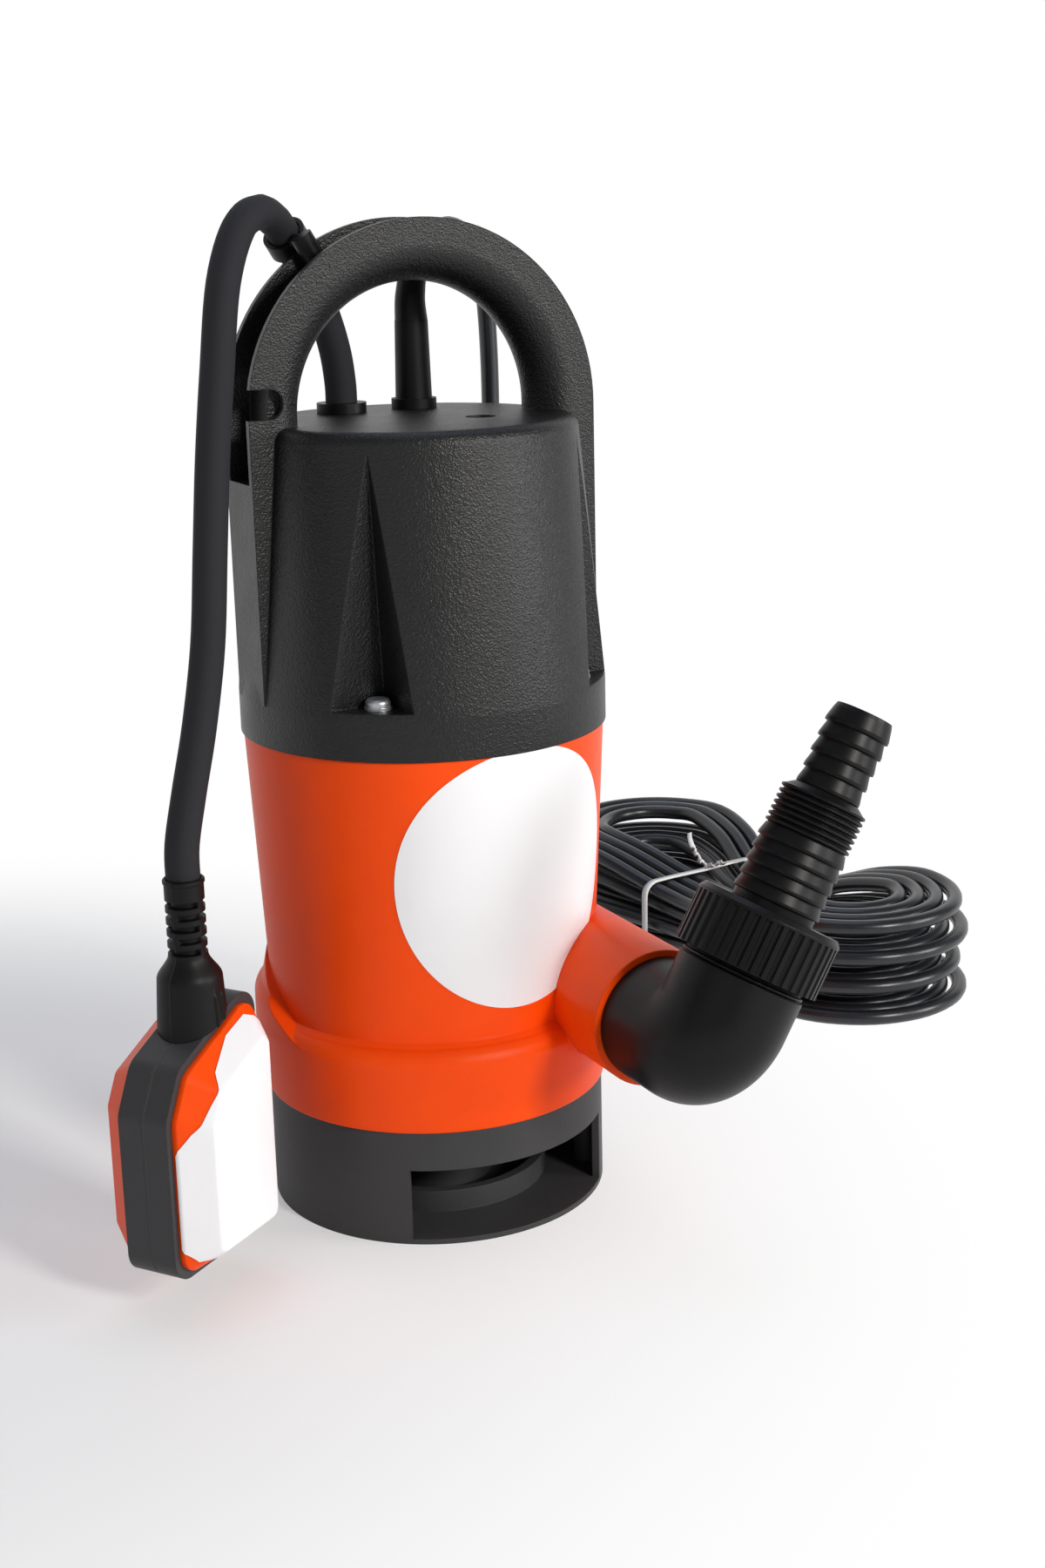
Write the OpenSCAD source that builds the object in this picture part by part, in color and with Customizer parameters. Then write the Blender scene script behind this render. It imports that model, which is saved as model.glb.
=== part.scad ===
// Submersible dirty-water pump with float switch, hose elbow and mains cord.
// Origin: middle of the underside of the suction base, on the motor axis.
// +Z is up, the carrying handle lies along X and the outlet points to -Y.

/* [Suction base] */
// Outer radius of the suction base
base_r = 68; // [64:0.5:74]
// Height of the suction base
base_h = 47; // [42:0.5:54]
// Wall of the suction base
base_wall = 3; // [2:0.5:4]
// Thickness of the base floor
base_floor = 2.2; // [1.6:0.2:4]
// Height of the suction windows' upper edge
window_top = 31; // [22:1:34]
// Angle of a suction window's first edge, from the front
window_from = -34; // [-40:1:-20]
// Width of a suction window in degrees
window_span = 84; // [60:1:90]

/* [Pump housing] */
// Height of the volute part, from base to neck
volute_h = 54; // [50:1:60]
// Largest radius of the volute ring
ring_r = 72.5; // [71:0.5:76]
// Height of the ring's widest line above its lower edge
ring_rise = 28; // [24:1:30]
// Outer radius of the motor body at the neck
neck_r = 66.5; // [65:0.5:69]
// Outer radius of the motor body under the cover
body_top_r = 70.8; // [70:0.2:71.4]
// Height of the motor body, from neck to cover
body_h = 93; // [88:1:110]
// Wall of the motor body
body_wall = 3.5; // [3:0.5:4.5]
// Radius of the pumping chamber
chamber_r = 62; // [58:0.5:62.5]
// Thickness of the bulkhead between chamber and motor
bulkhead_t = 10; // [8:1:12]

/* [Cover and handle] */
// Outer radius of the cover's lower band
cover_r = 71.8; // [71.4:0.2:73]
// Height of the cover's smooth lower band
band_h = 16; // [12:1:20]
// Height of the cover, from seam to deck
cover_h = 118; // [112:1:130]
// Outer radius of the cover at the deck
deck_r = 63; // [61:0.5:66]
// Wall of the cover
cover_wall = 3; // [2.5:0.5:4]
// Rounding of the deck's edge
deck_round = 5; // [2:1:7]
// Outer half width of the handle
handle_r = 71; // [70:0.5:73]
// Thickness of the handle, front to back
handle_t = 27; // [24:1:28]
// Height of the arch's centre above the deck
arch_rise = 2.5; // [0:0.5:8]
// Width of the flat rim round the arch
rim_w = 9.5; // [8:0.5:11]
// Thickness of the two handle flanges
flange_t = 3; // [2:0.5:4]
// Radius of the cable slot in the left leg
slot_r = 5.5; // [4.5:0.5:6]
// Angle of the first cover screw from the front
screw_angle = -39.5; // [-45:0.5:-36]
// Half width of a screw pocket, in degrees
pocket_half = 13.75; // [11:0.25:15]

/* [Outlet] */
// Sideways distance of the outlet axis
outlet_x = 50.5; // [46:0.5:52]
// Height of the outlet axis
outlet_z = 89; // [84:0.5:90]
// Distance of the outlet mouth from the motor axis
mouth_y = 94; // [90:0.5:100]
// Outer radius of the outlet boss
boss_r = 27; // [26.5:0.5:30]
// Outer radius of the elbow's pipe threads
pipe_r = 23.9; // [23:0.1:24]
// Distance from the outlet mouth to the elbow's corner
elbow_reach = 36; // [34:1:45]
// Outer radius of the elbow
elbow_r = 24.5; // [24.3:0.1:26]
// Radius of the water way in the elbow
elbow_bore_r = 19.5; // [17:0.5:20]
// Bend radius of the elbow
bend_r = 27.5; // [26.5:0.5:30]
// Radius of the bend that the elbow's outer corner follows
corner_r = 14.5; // [12:0.5:20]
// Lean of the elbow away from upright
elbow_lean = 30; // [0:1:40]
// Distance from the elbow's corner to the nut
nut_from = 33; // [32:0.5:40]
// Height of the union nut
nut_h = 23; // [20:0.5:28]
// Outer radius of the union nut
nut_r = 28; // [27.5:0.5:32]
// Number of grip grooves on the nut
nut_grooves = 40; // [24:1:48]
// Radius of the larger hose barbs
barb_big_r = 17; // [16.8:0.2:18]
// Radius of the hose thread
thread_r = 16.62; // [16:0.02:16.7]
// Radius of the smaller hose barbs
barb_small_r = 12.5; // [12:0.1:13]
// Radius of the water way in the hose adapter
adapter_bore_r = 9.5; // [8:0.5:10]

/* [Motor] */
// Radius of the shaft at the bearings
shaft_r = 6; // [5:0.5:7]
// Radius of the rotor core
rotor_r = 37.5; // [34:0.5:40]
// Air gap between rotor and stator
air_gap = 0.5; // [0.3:0.1:1]
// Outer radius of the motor sleeve
can_r = 56; // [54:0.5:56.5]
// Wall of the motor sleeve
can_wall = 1.5; // [1:0.5:2]
// Length of the rotor and stator stacks
stack_h = 44; // [36:1:47]
// Radius of the impeller
impeller_r = 44; // [38:0.5:52]
// Number of impeller vanes
vane_count = 6; // [4:1:8]

/* [Float switch] */
// Width of the float
float_w = 58; // [54:1:64]
// Height of the float's outline under its cable
float_h = 88; // [85:1:96]
// Thickness of the float's black band
band_t = 21; // [20:1:26]
// Height of each orange shell
shell_h = 13; // [10:1:14]
// Radius of the switching ball
ball_r = 8; // [6:0.5:8]
// Way that the ball rolls
ball_way = 12; // [8:1:12]

/* [Cords] */
// Diameter of the mains cord
cord_d = 7.5; // [7:0.1:7.6]
// Diameter of the float cable
float_cable_d = 12.5; // [11:0.5:12.5]
// Loops in each layer of the hank
layer_loops = 4; // [3:1:4]
// Layers of the hank
hank_layers = 4; // [2:2:4]
// Half width of the hank's outer loop
hank_half_w = 58; // [56:1:62]
// Step from one loop of the hank to the next
loop_step = 9.2; // [9:0.1:9.4]
// Rise from one layer of the hank to the next
layer_step = 8.2; // [8:0.1:9]

/* [Hidden] */

$fn = 64;
// A cut goes this far past the face that it opens
over = 1;
// Running clearance of turning fits, and loose clearance of assembled pieces
run_gap = 0.05;
loose_gap = 0.3;

// Heights of the seams, from the floor up
neck_z = base_h + volute_h;
seam_z = neck_z + body_h;
deck_z = seam_z + cover_h;
band_z = seam_z + band_h;
arch_z = deck_z + arch_rise;

// Housing floor, bulkhead and seats
foot_r = base_r + 1;
ring_z = base_h + ring_rise;
ring_round = 6;
crease_z = ring_z + ring_round;
shoulder_z = crease_z + 4;
ramp_from = -15;
ramp_to = 30;
plate_r = 56;
plate_t = 4;
gasket_t = 1;
ledge_r = 50;
ledge_t = 4;
plate_top = base_h + plate_t + gasket_t;
chamber_z = plate_top + ledge_t;
bulkhead_top = neck_z + 3;
chamber_top = bulkhead_top - bulkhead_t;
seal_bore_r = 16;
pillar_r = 5;
inlet_ring_r = 44;
inlet_ring_t = 4;
inlet_ring_h = 9;
inlet_cone_r = 22;
inlet_cone_tip_r = 10;
inlet_cone_h = 12;
pillar_at = base_r - base_wall - pillar_r + 1.5;
pillar_angles = [68, 128, 248, 308];
base_screw_r = 2;
base_screw_head_r = 4;
base_screw_head_h = 3;
base_screw_bite = 8;
plate_screw_r = 1.5;
plate_screw_at = (ledge_r + plate_r) / 2;

// Cover joint: a spigot with a seal ring that plugs into the motor body
spigot_h = 8;
spigot_t = 8;
spigot_r = body_top_r - body_wall - loose_gap;
oring_r = 1.4;
oring_z = seam_z - spigot_h / 2;
cover_screw_r = 2;
cover_screw_head_r = 4.8;
cover_screw_head_h = 3;
washer_r = 5.2;
washer_t = 1;
cover_screw_bite = 14;
cover_screw_boss_r = 6;
boss_foot = 6;
boss_web = 4;
cover_screw_at = spigot_r - 2.2 * oring_r - cover_screw_r;
pocket_z = band_z + 2;
pocket_depth = 18.3;

// Handle section and slot
grip_r = handle_t / 2;
grip_at = handle_r - rim_w;
groove_w = handle_t - 2 * flange_t;
groove_end_z = deck_z - 20;
slot_z = deck_z + 9;
slot_at = handle_r - 8.5;
slot_depth = flange_t + 3;

// Deck fittings
gland_x = 15.5;
gland_y = 33.5;
deck_hole = [20.3, -17];
deck_hole_r = 4.5;
deck_hole_depth = 7;
mains_sleeve_top = deck_z + 34;
float_collar_h = 4;
clip_w = 7;

// Outlet frame and the stack of pieces on the elbow's upper end
spigot_len = 22;
socket_gap = 0.08;
water_way_r = elbow_bore_r + 1;
elbow_end = nut_from + nut_h - 7;
seat_t = 2;
flange_from = elbow_end + seat_t;
flange_h = 2;
lip_from = flange_from + flange_h;
nut_top = nut_from + nut_h;
lower_barbs = 5;
lower_barb_step = 5.2;
thread_from = nut_top + 29;
thread_pitch = 2.3;
thread_turns = 7;
upper_barbs = 5;
upper_barb_step = 6.2;
thread_depth = 1.3;
thread_run_out = 2;
barb_depth = 1.1;
adapter_tip_h = 1.6;
adapter_wall = 3;
adapter_step = 6;
flange_play = 0.5;
upper_from = thread_from + thread_turns * thread_pitch + thread_run_out;
adapter_top = upper_from + upper_barbs * upper_barb_step + 1.5;

// Motor stack, from the bulkhead up
bearing_w = 10;
bearing_r = shaft_r + 10;
bearing_pitch_r = shaft_r + 5;
bearing_ball_r = 2.9;
race_t = 3.1;
shield_t = 12;
shield_r = can_r + 2;
can_from = bulkhead_top + shield_t;
lower_bearing_z = can_from - bearing_w;
winding_h = 13;
winding_gap = 3;
stack_from = can_from + winding_gap + winding_h;
stack_top = stack_from + stack_h;
can_top = stack_top + winding_h + winding_gap;
upper_bearing_z = can_top + 1;
shield_top = can_top + shield_t;
stator_r = can_r - can_wall - run_gap;
stator_bore_r = rotor_r + air_gap;
shaft_mid_r = shaft_r + 1.5;
shaft_end_r = shaft_r - 2;
impeller_nut_h = 7;
impeller_from = plate_top + 10;
impeller_h = 18;
impeller_disc_t = 4;
hub_r = shaft_r + 6;
seal_ring_h = 6;
capacitor_r = 17;
capacitor_h = 58;
capacitor_at = [-28, -6];
terminal_at = [26, -4];

// Float switch frame
float_at = [-121.3, -50.6, 58];
float_turn = 36;
float_top = 47;
float_bottom = float_top - float_h;
top_slant = 22.7;
float_round = 9;
band_ring_w = 6;
shell_wall = 2.5;
shell_taper = 5.5;
boot_x = 4.75;
boot_from = float_top - 3.5;
boot_h = 58.5;
boot_r = 12.3;
boot_neck_r = float_cable_d / 2 + 0.6;
guide_bottom = float_bottom + 2 * band_ring_w + 3.2;
guide_top = guide_bottom + 34.3;
guide_wall = 2.2;
plunger_r = 1.5;
plunger_way = 1.5;
plunger_h = 11.2;
ball_at = guide_bottom + loose_gap + ball_r;
plunger_from = ball_at + ball_r + ball_way - plunger_way + loose_gap;

boot_top = float_at + [boot_x * cos(float_turn), boot_x * sin(float_turn), boot_from + boot_h];

// Cord routes, chosen by hand
float_fixed_route = [[-gland_x, gland_y, deck_z + float_collar_h], [-15.7, 33.5, deck_z + 12],
    [-17.5, 33, deck_z + 24], [-22, 31.5, deck_z + 38], [-29, 28.5, deck_z + 51],
    [-36, 24.5, deck_z + 62.5], [-41.8, 20.3, deck_z + 69.7]];
float_pivot = [-46, 17, deck_z + 73.5];
float_free_route = [float_pivot, [-54, 10.5, deck_z + 76.5], [-65, 2.5, deck_z + 71],
    [-75, -6, deck_z + 52], [-82, -14, deck_z + 22], [-88, -21, deck_z - 8], [-93, -27, 272],
    [-98, -33, 240], [-105, -39, 212], [-112, -44.2, 190], boot_top + [0.6, 0.4, 12], boot_top];
mains_route = [[gland_x, gland_y, mains_sleeve_top], [gland_x, gland_y, mains_sleeve_top + 10],
    [20, 36.5, deck_z + 57], [31, 43.5, deck_z + 67], [44, 52.5, deck_z + 69], [56, 60.5, deck_z + 61],
    [63, 65.5, deck_z + 45], [66, 68, deck_z + 18], [67, 70, deck_z - 22], [68, 73, 240], [70, 77, 190],
    [71, 83, 140], [72, 93, 95], [73, 108, 57], [74, 130, 28],
    [76, 158, 11], [80, 190, 5], [88, 222, 4.2], [102, 252, 4.1], [123, 277, 4.1], [150, 294, 4.1],
    [180, 302, 4.1], [211.4, 305.5, 4.1], [223.3, 307.1, 4.1], [235.2, 308.8, 4.1]];
plug_route = [[194.7, 250.9, 49.6], [193, 262.8, 49.5], [186.5, 276.5, 47], [173, 285.5, 42.5],
    [157, 284.5, 36.5], [144, 275, 30.5], [137, 259, 24.5], [135, 243, 20.5],
    [135, 230, 19.2], [135, 220, 19.2]];
hank_at = [262, 172];
hank_turn = 98;
hank_half_run = 80;
hank_draw = 17;
hank_fan = 0.85;
hank_lift = 1.6;
tie_at = 25;
hank_sides = 6;
hank_rings = 24;
run_rings = 6;
hank_lead = 3;
tube_sides = 10;
route_steps = 2;

// Plug
plug_at = [135, 185, 19.2];
plug_r = 18.8;
plug_len = 35;
plug_boot_len = 35;
pin_r = 2.4;
pin_len = 19;
pin_spacing = 19;

// Points and tubes

function unit(v) = v / norm(v);

// Rounded corner of radius r about c, from angle a0 to a1
function arc(c, r, a0, a1, n = 6) = [for (i = [0 : n]) let (a = a0 + (a1 - a0) * i / n)
    c + r * [cos(a), sin(a)]];

// Point on a smooth curve through p, at t from 0 to 1 after point i
function curve_point(p, i, t) =
    let (a = p[max(i - 1, 0)], b = p[i], c = p[i + 1], d = p[min(i + 2, len(p) - 1)])
    0.5 * (2 * b + (c - a) * t + (2 * a - 5 * b + 4 * c - d) * t * t
        + (3 * b - a - 3 * c + d) * t * t * t);

// The whole smooth curve, with steps points to each span
function curve(p, steps) = concat(
    [for (i = [0 : len(p) - 2]) for (k = [0 : steps - 1]) curve_point(p, i, k / steps)],
    [p[len(p) - 1]]);

function tangents(p) = let (n = len(p) - 1)
    [for (i = [0 : n]) unit(p[min(i + 1, n)] - p[max(i - 1, 0)])];

// Normals carried along the curve without twist
function normals(t) = [for (i = 0, n = unit(cross(t[0], [0.3, 0.9, 0.2])); i < len(t); i = i + 1,
    n = i < len(t) ? unit(n - (n * t[i]) * t[i]) : n) n];

// One closed tube of triangles along the points p
module tube(p, r, sides) {
    t = tangents(p);
    n = normals(t);
    last = (len(p) - 1) * sides;
    pts = [for (i = [0 : len(p) - 1]) for (j = [0 : sides - 1]) let (a = 360 * j / sides)
        p[i] + r * (cos(a) * n[i] + sin(a) * cross(t[i], n[i]))];
    walls = [for (i = [0 : len(p) - 2]) for (j = [0 : sides - 1])
        let (k = (j + 1) % sides, a = i * sides, b = a + sides)
        each [[a + j, b + j, b + k], [a + j, b + k, a + k]]];
    ends = [for (j = [1 : sides - 2]) each [[0, j, j + 1], [last, last + j + 1, last + j]]];
    polyhedron(pts, concat(walls, ends));
}

// Hank: loops spiral in and out in layers, drawn in at the waist

hank_inner = hank_half_w - loop_step * layer_loops;
hank_floor = cord_d / 2 + 0.35;
run_part = run_rings / hank_rings;
arc_part = 0.5 - run_part;

function smooth(x) = let (c = min(max(x, 0), 1)) c * c * (3 - 2 * c);

// Half width of the loop at t loops from the start
function hank_b(t) = let (k = max(floor(t / layer_loops), 0), f = t - k * layer_loops)
    k % 2 == 0 ? hank_half_w - loop_step * f : hank_inner + loop_step * f;

// Layer at t: each climb lies along the first run after the spiral turns back
function hank_layer(t) = let (k = floor(t / layer_loops), f = t - k * layer_loops)
    k < 1 ? 0 : k - 1 + smooth(f / run_part);

// Place in the hank's own axes: along, across
function hank_plan(t) = let (s = t - floor(t), b = hank_b(t), a = hank_half_run)
    s < run_part ? let (u = a * (1 - 2 * s / run_part)) [u, b - hank_draw * pow(cos(90 * u / a), 2)]
    : s < 0.5 ? let (w = 90 + 180 * (s - run_part) / arc_part) [-a + b * cos(w), b * sin(w)]
    : s < 0.5 + run_part ? let (u = a * (2 * (s - 0.5) / run_part - 1))
        [u, hank_draw * pow(cos(90 * u / a), 2) - b]
    : let (w = -90 + 180 * (s - 0.5 - run_part) / arc_part) [a + b * cos(w), b * sin(w)];

// Place on the floor: the layers fan out from the waist to the two ends
function hank_point(t) = let (q = hank_plan(t),
    near = abs(q[0]) < hank_half_run ? pow(cos(90 * q[0] / hank_half_run), 2) : 0)
    [hank_at[0] + q[0] * cos(hank_turn) + q[1] * sin(hank_turn),
     hank_at[1] + q[0] * sin(hank_turn) - q[1] * cos(hank_turn),
     hank_floor + hank_lift * near + layer_step * hank_layer(t) * (1 + hank_fan * (1 - near))];

hank_end = layer_loops * hank_layers - 0.5 + run_part;
hank_way = [for (i = [-hank_lead : round(hank_end * hank_rings)])
    hank_point(min(i / hank_rings, hank_end - 0.0001))];
hank_pts = concat([hank_way[0] - cord_d * [sin(hank_turn), -cos(hank_turn), 0]], hank_way,
    [hank_way[len(hank_way) - 1] + cord_d * [cos(hank_turn), sin(hank_turn), 0]]);
hank_gap = min([for (i = [0 : len(hank_pts) - 1]) for (j = [i + 6 : 1 : len(hank_pts) - 1])
    norm(hank_pts[i] - hank_pts[j])]) - cord_d;
function way(p) = [for (i = [1 : len(p) - 1]) norm(p[i] - p[i - 1])] * [for (i = [1 : len(p) - 1]) 1];

union() {  // mains_hank
    echo(hank_least_gap = hank_gap, hank_length = way(hank_pts),
        first = hank_pts[0], second = hank_pts[1], last = hank_pts[len(hank_pts) - 1]);
    echo(mains_length = way(curve(mains_route, 8)), plug_lead_length = way(curve(plug_route, 8)),
        float_length = way(curve(float_free_route, 8)), fixed = way(curve(float_fixed_route, 8)));
}

// Small shared shapes

module ring(r, bore, h) {
    difference() {
        cylinder(h = h, r = r);
        translate([0, 0, -over]) cylinder(h = h + 2 * over, r = bore);
    }
}

// Round bar from a to b
module rod(a, b, r) {
    d = b - a;
    translate(a) rotate([0, acos(d[2] / norm(d)), atan2(d[1], d[0])]) cylinder(h = norm(d), r = r);
}

module at_angle(a, r, z = 0) {
    translate([r * sin(a), -r * cos(a), z]) children();
}

// Four places on the cover screws' circle
module at_cover_screws(z) {
    for (k = [0 : 3]) at_angle(screw_angle + 90 * k, cover_screw_at, z) children();
}

module at_base_screws(z) {
    for (a = pillar_angles) at_angle(a, pillar_at, z) children();
}

module at_plate_screws(z) {
    for (a = [30, 150, 270]) at_angle(a, plate_screw_at, z) children();
}

// Pan head on a plain shank that hangs below z = 0
module pan_screw(r, head_r, head_h, len) {
    rotate_extrude() polygon(concat([[0, -len], [r, -len], [r, 0], [head_r, 0]],
        arc([head_r - head_h * 0.6, head_h * 0.4], head_h * 0.6, 0, 90), [[0, head_h]]));
}

// Frame of the elbow: corner at the origin, housing on +Y, hose end on +Z
module at_elbow() {
    translate([outlet_x, -mouth_y - elbow_reach, outlet_z]) rotate([0, elbow_lean, 0]) children();
}

// Frame of the float: width on X, height on Z, labelled side on -Y
module at_float() {
    translate(float_at) rotate([0, 0, float_turn]) children();
}

// Cover, handle and what seals and fastens them

function cone_r(z) = deck_r + (cover_r - deck_r) * (deck_z - z) / (deck_z - band_z);

module cover_solid(shrink, top_cut) {
    round_r = max(deck_round - shrink, 0.5);
    top = deck_z - top_cut;
    edge = deck_r - shrink;
    rotate_extrude() polygon(concat([[0, seam_z], [cover_r - shrink, seam_z],
        [cover_r - shrink, band_z]], arc([edge - round_r, top - round_r], round_r, 5, 90), [[0, top]]));
}

// Wedge of a screw pocket: apex at the deck's edge, ledge at its foot
module pocket(half, depth, foot) {
    r = cover_r + 2;
    far = 30;
    tip = deck_z - 2;
    polyhedron([[-r * sin(half), -r * cos(half), foot], [r * sin(half), -r * cos(half), foot],
        [0, -(cover_r - depth), foot], [0, -cone_r(tip) - 0.4, tip],
        [-(r + far) * sin(half), -(r + far) * cos(half), foot],
        [(r + far) * sin(half), -(r + far) * cos(half), foot], [0, -cone_r(tip) - far, tip]],
        [[0, 2, 3], [2, 1, 3], [0, 3, 6], [0, 6, 4], [1, 5, 6], [1, 6, 3], [4, 6, 5],
        [0, 4, 5], [0, 5, 1], [0, 1, 2]]);
}

module at_pockets() {
    for (k = [0 : 3]) rotate([0, 0, screw_angle + 90 * k]) children();
}

module handle_section() {
    difference() {
        translate([grip_at, 0]) circle(r = grip_r);
        translate([grip_at, -handle_t]) square([handle_t, 2 * handle_t]);
    }
    for (y = [-grip_r, grip_r - flange_t]) translate([grip_at, y]) square([rim_w, flange_t]);
}

module handle_leg() {
    translate([0, 0, band_z]) linear_extrude(arch_z - band_z) handle_section();
    translate([grip_at - 1, -groove_w / 2 - 0.5, band_z])
        cube([rim_w + 1, groove_w + 1, groove_end_z - band_z]);
}

module handle() {
    translate([0, 0, arch_z]) rotate([90, 0, 0]) rotate_extrude(angle = 180) handle_section();
    handle_leg();
    mirror([1, 0, 0]) handle_leg();
}

module cable_slot() {
    translate([-slot_at, slot_depth - grip_r, slot_z]) rotate([90, 0, 0])
        cylinder(h = slot_depth + over, r = slot_r);
    translate([-handle_r - over, -grip_r - over, slot_z - slot_r])
        cube([handle_r + over - slot_at, slot_depth + over, 2 * slot_r]);
}

module cover_cavity() {
    difference() {
        translate([0, 0, -over]) intersection() {
            cover_solid(cover_wall, cover_wall - over);
            translate([0, 0, seam_z]) cylinder(h = cover_h, r = cover_r);
        }
        at_pockets() pocket(pocket_half + 2.5, pocket_depth + cover_wall, pocket_z - cover_wall);
        at_cover_screws(seam_z - over) cylinder(h = pocket_z - seam_z, r = cover_screw_boss_r);
        translate([deck_hole[0], deck_hole[1], deck_z - deck_hole_depth - cover_wall])
            cylinder(h = deck_hole_depth + cover_wall, r = deck_hole_r + cover_wall);
        translate([0, 0, seam_z - over]) ring(cover_r, spigot_r - spigot_t, 1.5 * over + 2);
    }
}

module top_cover() {
    color("#1d1d1f") difference() {
        union() {
            cover_solid(0, 0);
            handle();
            translate([0, 0, seam_z - spigot_h]) ring(spigot_r, spigot_r - spigot_t, spigot_h + 1);
        }
        cover_cavity();
        at_pockets() pocket(pocket_half, pocket_depth, pocket_z);
        at_cover_screws(seam_z - spigot_h - over)
            cylinder(h = band_h + spigot_h + 3 * over + 2, r = cover_screw_r + 0.2);
        translate([0, 0, oring_z]) rotate_extrude() translate([spigot_r - 2 * oring_r, -oring_r - 0.2])
            square([oring_r * 3, 2 * oring_r + 0.4]);
        cable_slot();
        translate([gland_x, gland_y, deck_z - 2 * cover_wall])
            cylinder(h = 3 * cover_wall, r = cord_d / 2 + 2.3);
        translate([-gland_x, gland_y, deck_z - 2 * cover_wall])
            cylinder(h = 3 * cover_wall, r = float_cable_d / 2 + 1.1);
        translate([deck_hole[0], deck_hole[1], deck_z - deck_hole_depth])
            cylinder(h = deck_hole_depth + over, r = deck_hole_r);
        translate([deck_hole[0], deck_hole[1], deck_z - 0.8])
            cylinder(h = 0.8 + over, r = deck_hole_r + 1.4);
    }
}

module cover_screws() {
    color("#c9ccd0") at_cover_screws(pocket_z + washer_t)
        pan_screw(cover_screw_r, cover_screw_head_r, cover_screw_head_h,
            washer_t + pocket_z - seam_z + spigot_h + cover_screw_bite - 2);
}

module cover_washers() {
    color("#b9bcc0") at_cover_screws(pocket_z) ring(washer_r, cover_screw_r + run_gap, washer_t);
}

module cover_oring() {
    color("#2b2b2b") translate([0, 0, oring_z]) rotate_extrude()
        translate([spigot_r + loose_gap - oring_r - 0.1, 0]) circle(r = oring_r);
}

// Pump housing: motor body, volute ring and outlet boss in one moulding

// Radius of the motor body's tapered wall at height z
function wall_r(z) = neck_r + (body_top_r - neck_r) * (z - bulkhead_top) / (seam_z - bulkhead_top);

// Volute shoulder: it climbs along a sloping plane from the front to the back
module back_shoulder() {
    reach = 2 * ring_r;
    intersection() {
        rotate_extrude() polygon(concat([[0, ring_z], [ring_r, ring_z]],
            arc([ring_r - ring_round, shoulder_z], ring_round, 0, 60),
            [[wall_r(bulkhead_top), bulkhead_top], [0, bulkhead_top]]));
        translate([0, ramp_from, crease_z])
            rotate([atan2(bulkhead_top - crease_z, ramp_to - ramp_from), 0, 0])
            translate([-reach, -reach, -reach]) cube([2 * reach, 2 * reach, reach]);
    }
}

module housing_outside() {
    crease_r = wall_r(crease_z + ring_round / 4);
    rotate_extrude() polygon(concat([[0, base_h], [foot_r, base_h]],
        arc([ring_r - ring_round, ring_z], ring_round, 0, 78), [[crease_r, crease_z + ring_round / 4],
        [body_top_r, seam_z], [0, seam_z]]));
    back_shoulder();
    translate([outlet_x, 0, outlet_z]) {
        rotate([90, 0, 0]) cylinder(h = mouth_y, r = boss_r);
        sphere(r = boss_r);
    }
}

module housing_inside() {
    floor_r = neck_r - body_wall;
    rotate_extrude() polygon([[0, bulkhead_top], [floor_r, bulkhead_top],
        [body_top_r - body_wall, seam_z - spigot_h - 2], [body_top_r - body_wall, seam_z + over],
        [0, seam_z + over]]);
    rotate_extrude() polygon([[0, base_h - over], [plate_r + loose_gap, base_h - over],
        [plate_r + loose_gap, plate_top], [ledge_r, plate_top], [ledge_r, chamber_z],
        [chamber_r, chamber_z], [chamber_r, chamber_top - 6], [chamber_r - 6, chamber_top],
        [0, chamber_top]]);
    translate([0, 0, chamber_top - over]) cylinder(h = bulkhead_t + 2 * over, r = seal_bore_r + run_gap);
}

module outlet_way() {
    outer_end = mouth_y - spigot_len - 2;
    translate([outlet_x, 0, outlet_z]) rotate([90, 0, 0]) {
        translate([0, 0, outer_end]) cylinder(h = mouth_y - outer_end + over, r = pipe_r + socket_gap);
        translate([0, 0, body_top_r - 2]) cylinder(h = mouth_y - body_top_r, r = water_way_r);
        intersection() {
            translate([0, 0, outlet_x / 2]) cylinder(h = mouth_y - outlet_x, r = water_way_r);
            translate([-boss_r, -boss_r, 0]) cube([2 * boss_r, chamber_top - outlet_z + boss_r, mouth_y]);
        }
    }
}

module pump_housing() {
    boss_z = seam_z - spigot_h - cover_screw_bite;
    color("#f4570f") difference() {
        union() {
            difference() {
                housing_outside();
                housing_inside();
            }
            intersection() {
                union() {
                    at_cover_screws(boss_z - boss_foot)
                        cylinder(h = cover_screw_bite + boss_foot, r = cover_screw_boss_r - 1);
                    at_pockets() translate([-boss_web / 2, -body_top_r, boss_z - boss_foot])
                        cube([boss_web, body_top_r - cover_screw_at, cover_screw_bite + boss_foot]);
                }
                translate([0, 0, bulkhead_top]) cylinder(h = seam_z - bulkhead_top,
                    r1 = neck_r - body_wall / 2, r2 = body_top_r - body_wall / 2);
            }
        }
        outlet_way();
        at_cover_screws(boss_z - 2) cylinder(h = cover_screw_bite + 3, r = cover_screw_r + run_gap);
        at_base_screws(base_h - over) cylinder(h = base_screw_bite + over, r = base_screw_r + run_gap);
        at_plate_screws(plate_top - over) cylinder(h = ledge_t + 2 * over, r = plate_screw_r + run_gap);
    }
}

// Suction end

module suction_window(from) {
    reach = 2 * base_r;
    edge = [for (i = [0 : 6]) let (a = from + window_span * i / 6) reach * [sin(a), -cos(a)]];
    translate([0, 0, base_floor]) linear_extrude(window_top - base_floor)
        difference() {
            polygon(concat([[0, 0]], edge));
            circle(r = base_r - 2 * base_wall - pillar_r);
        }
}

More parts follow.
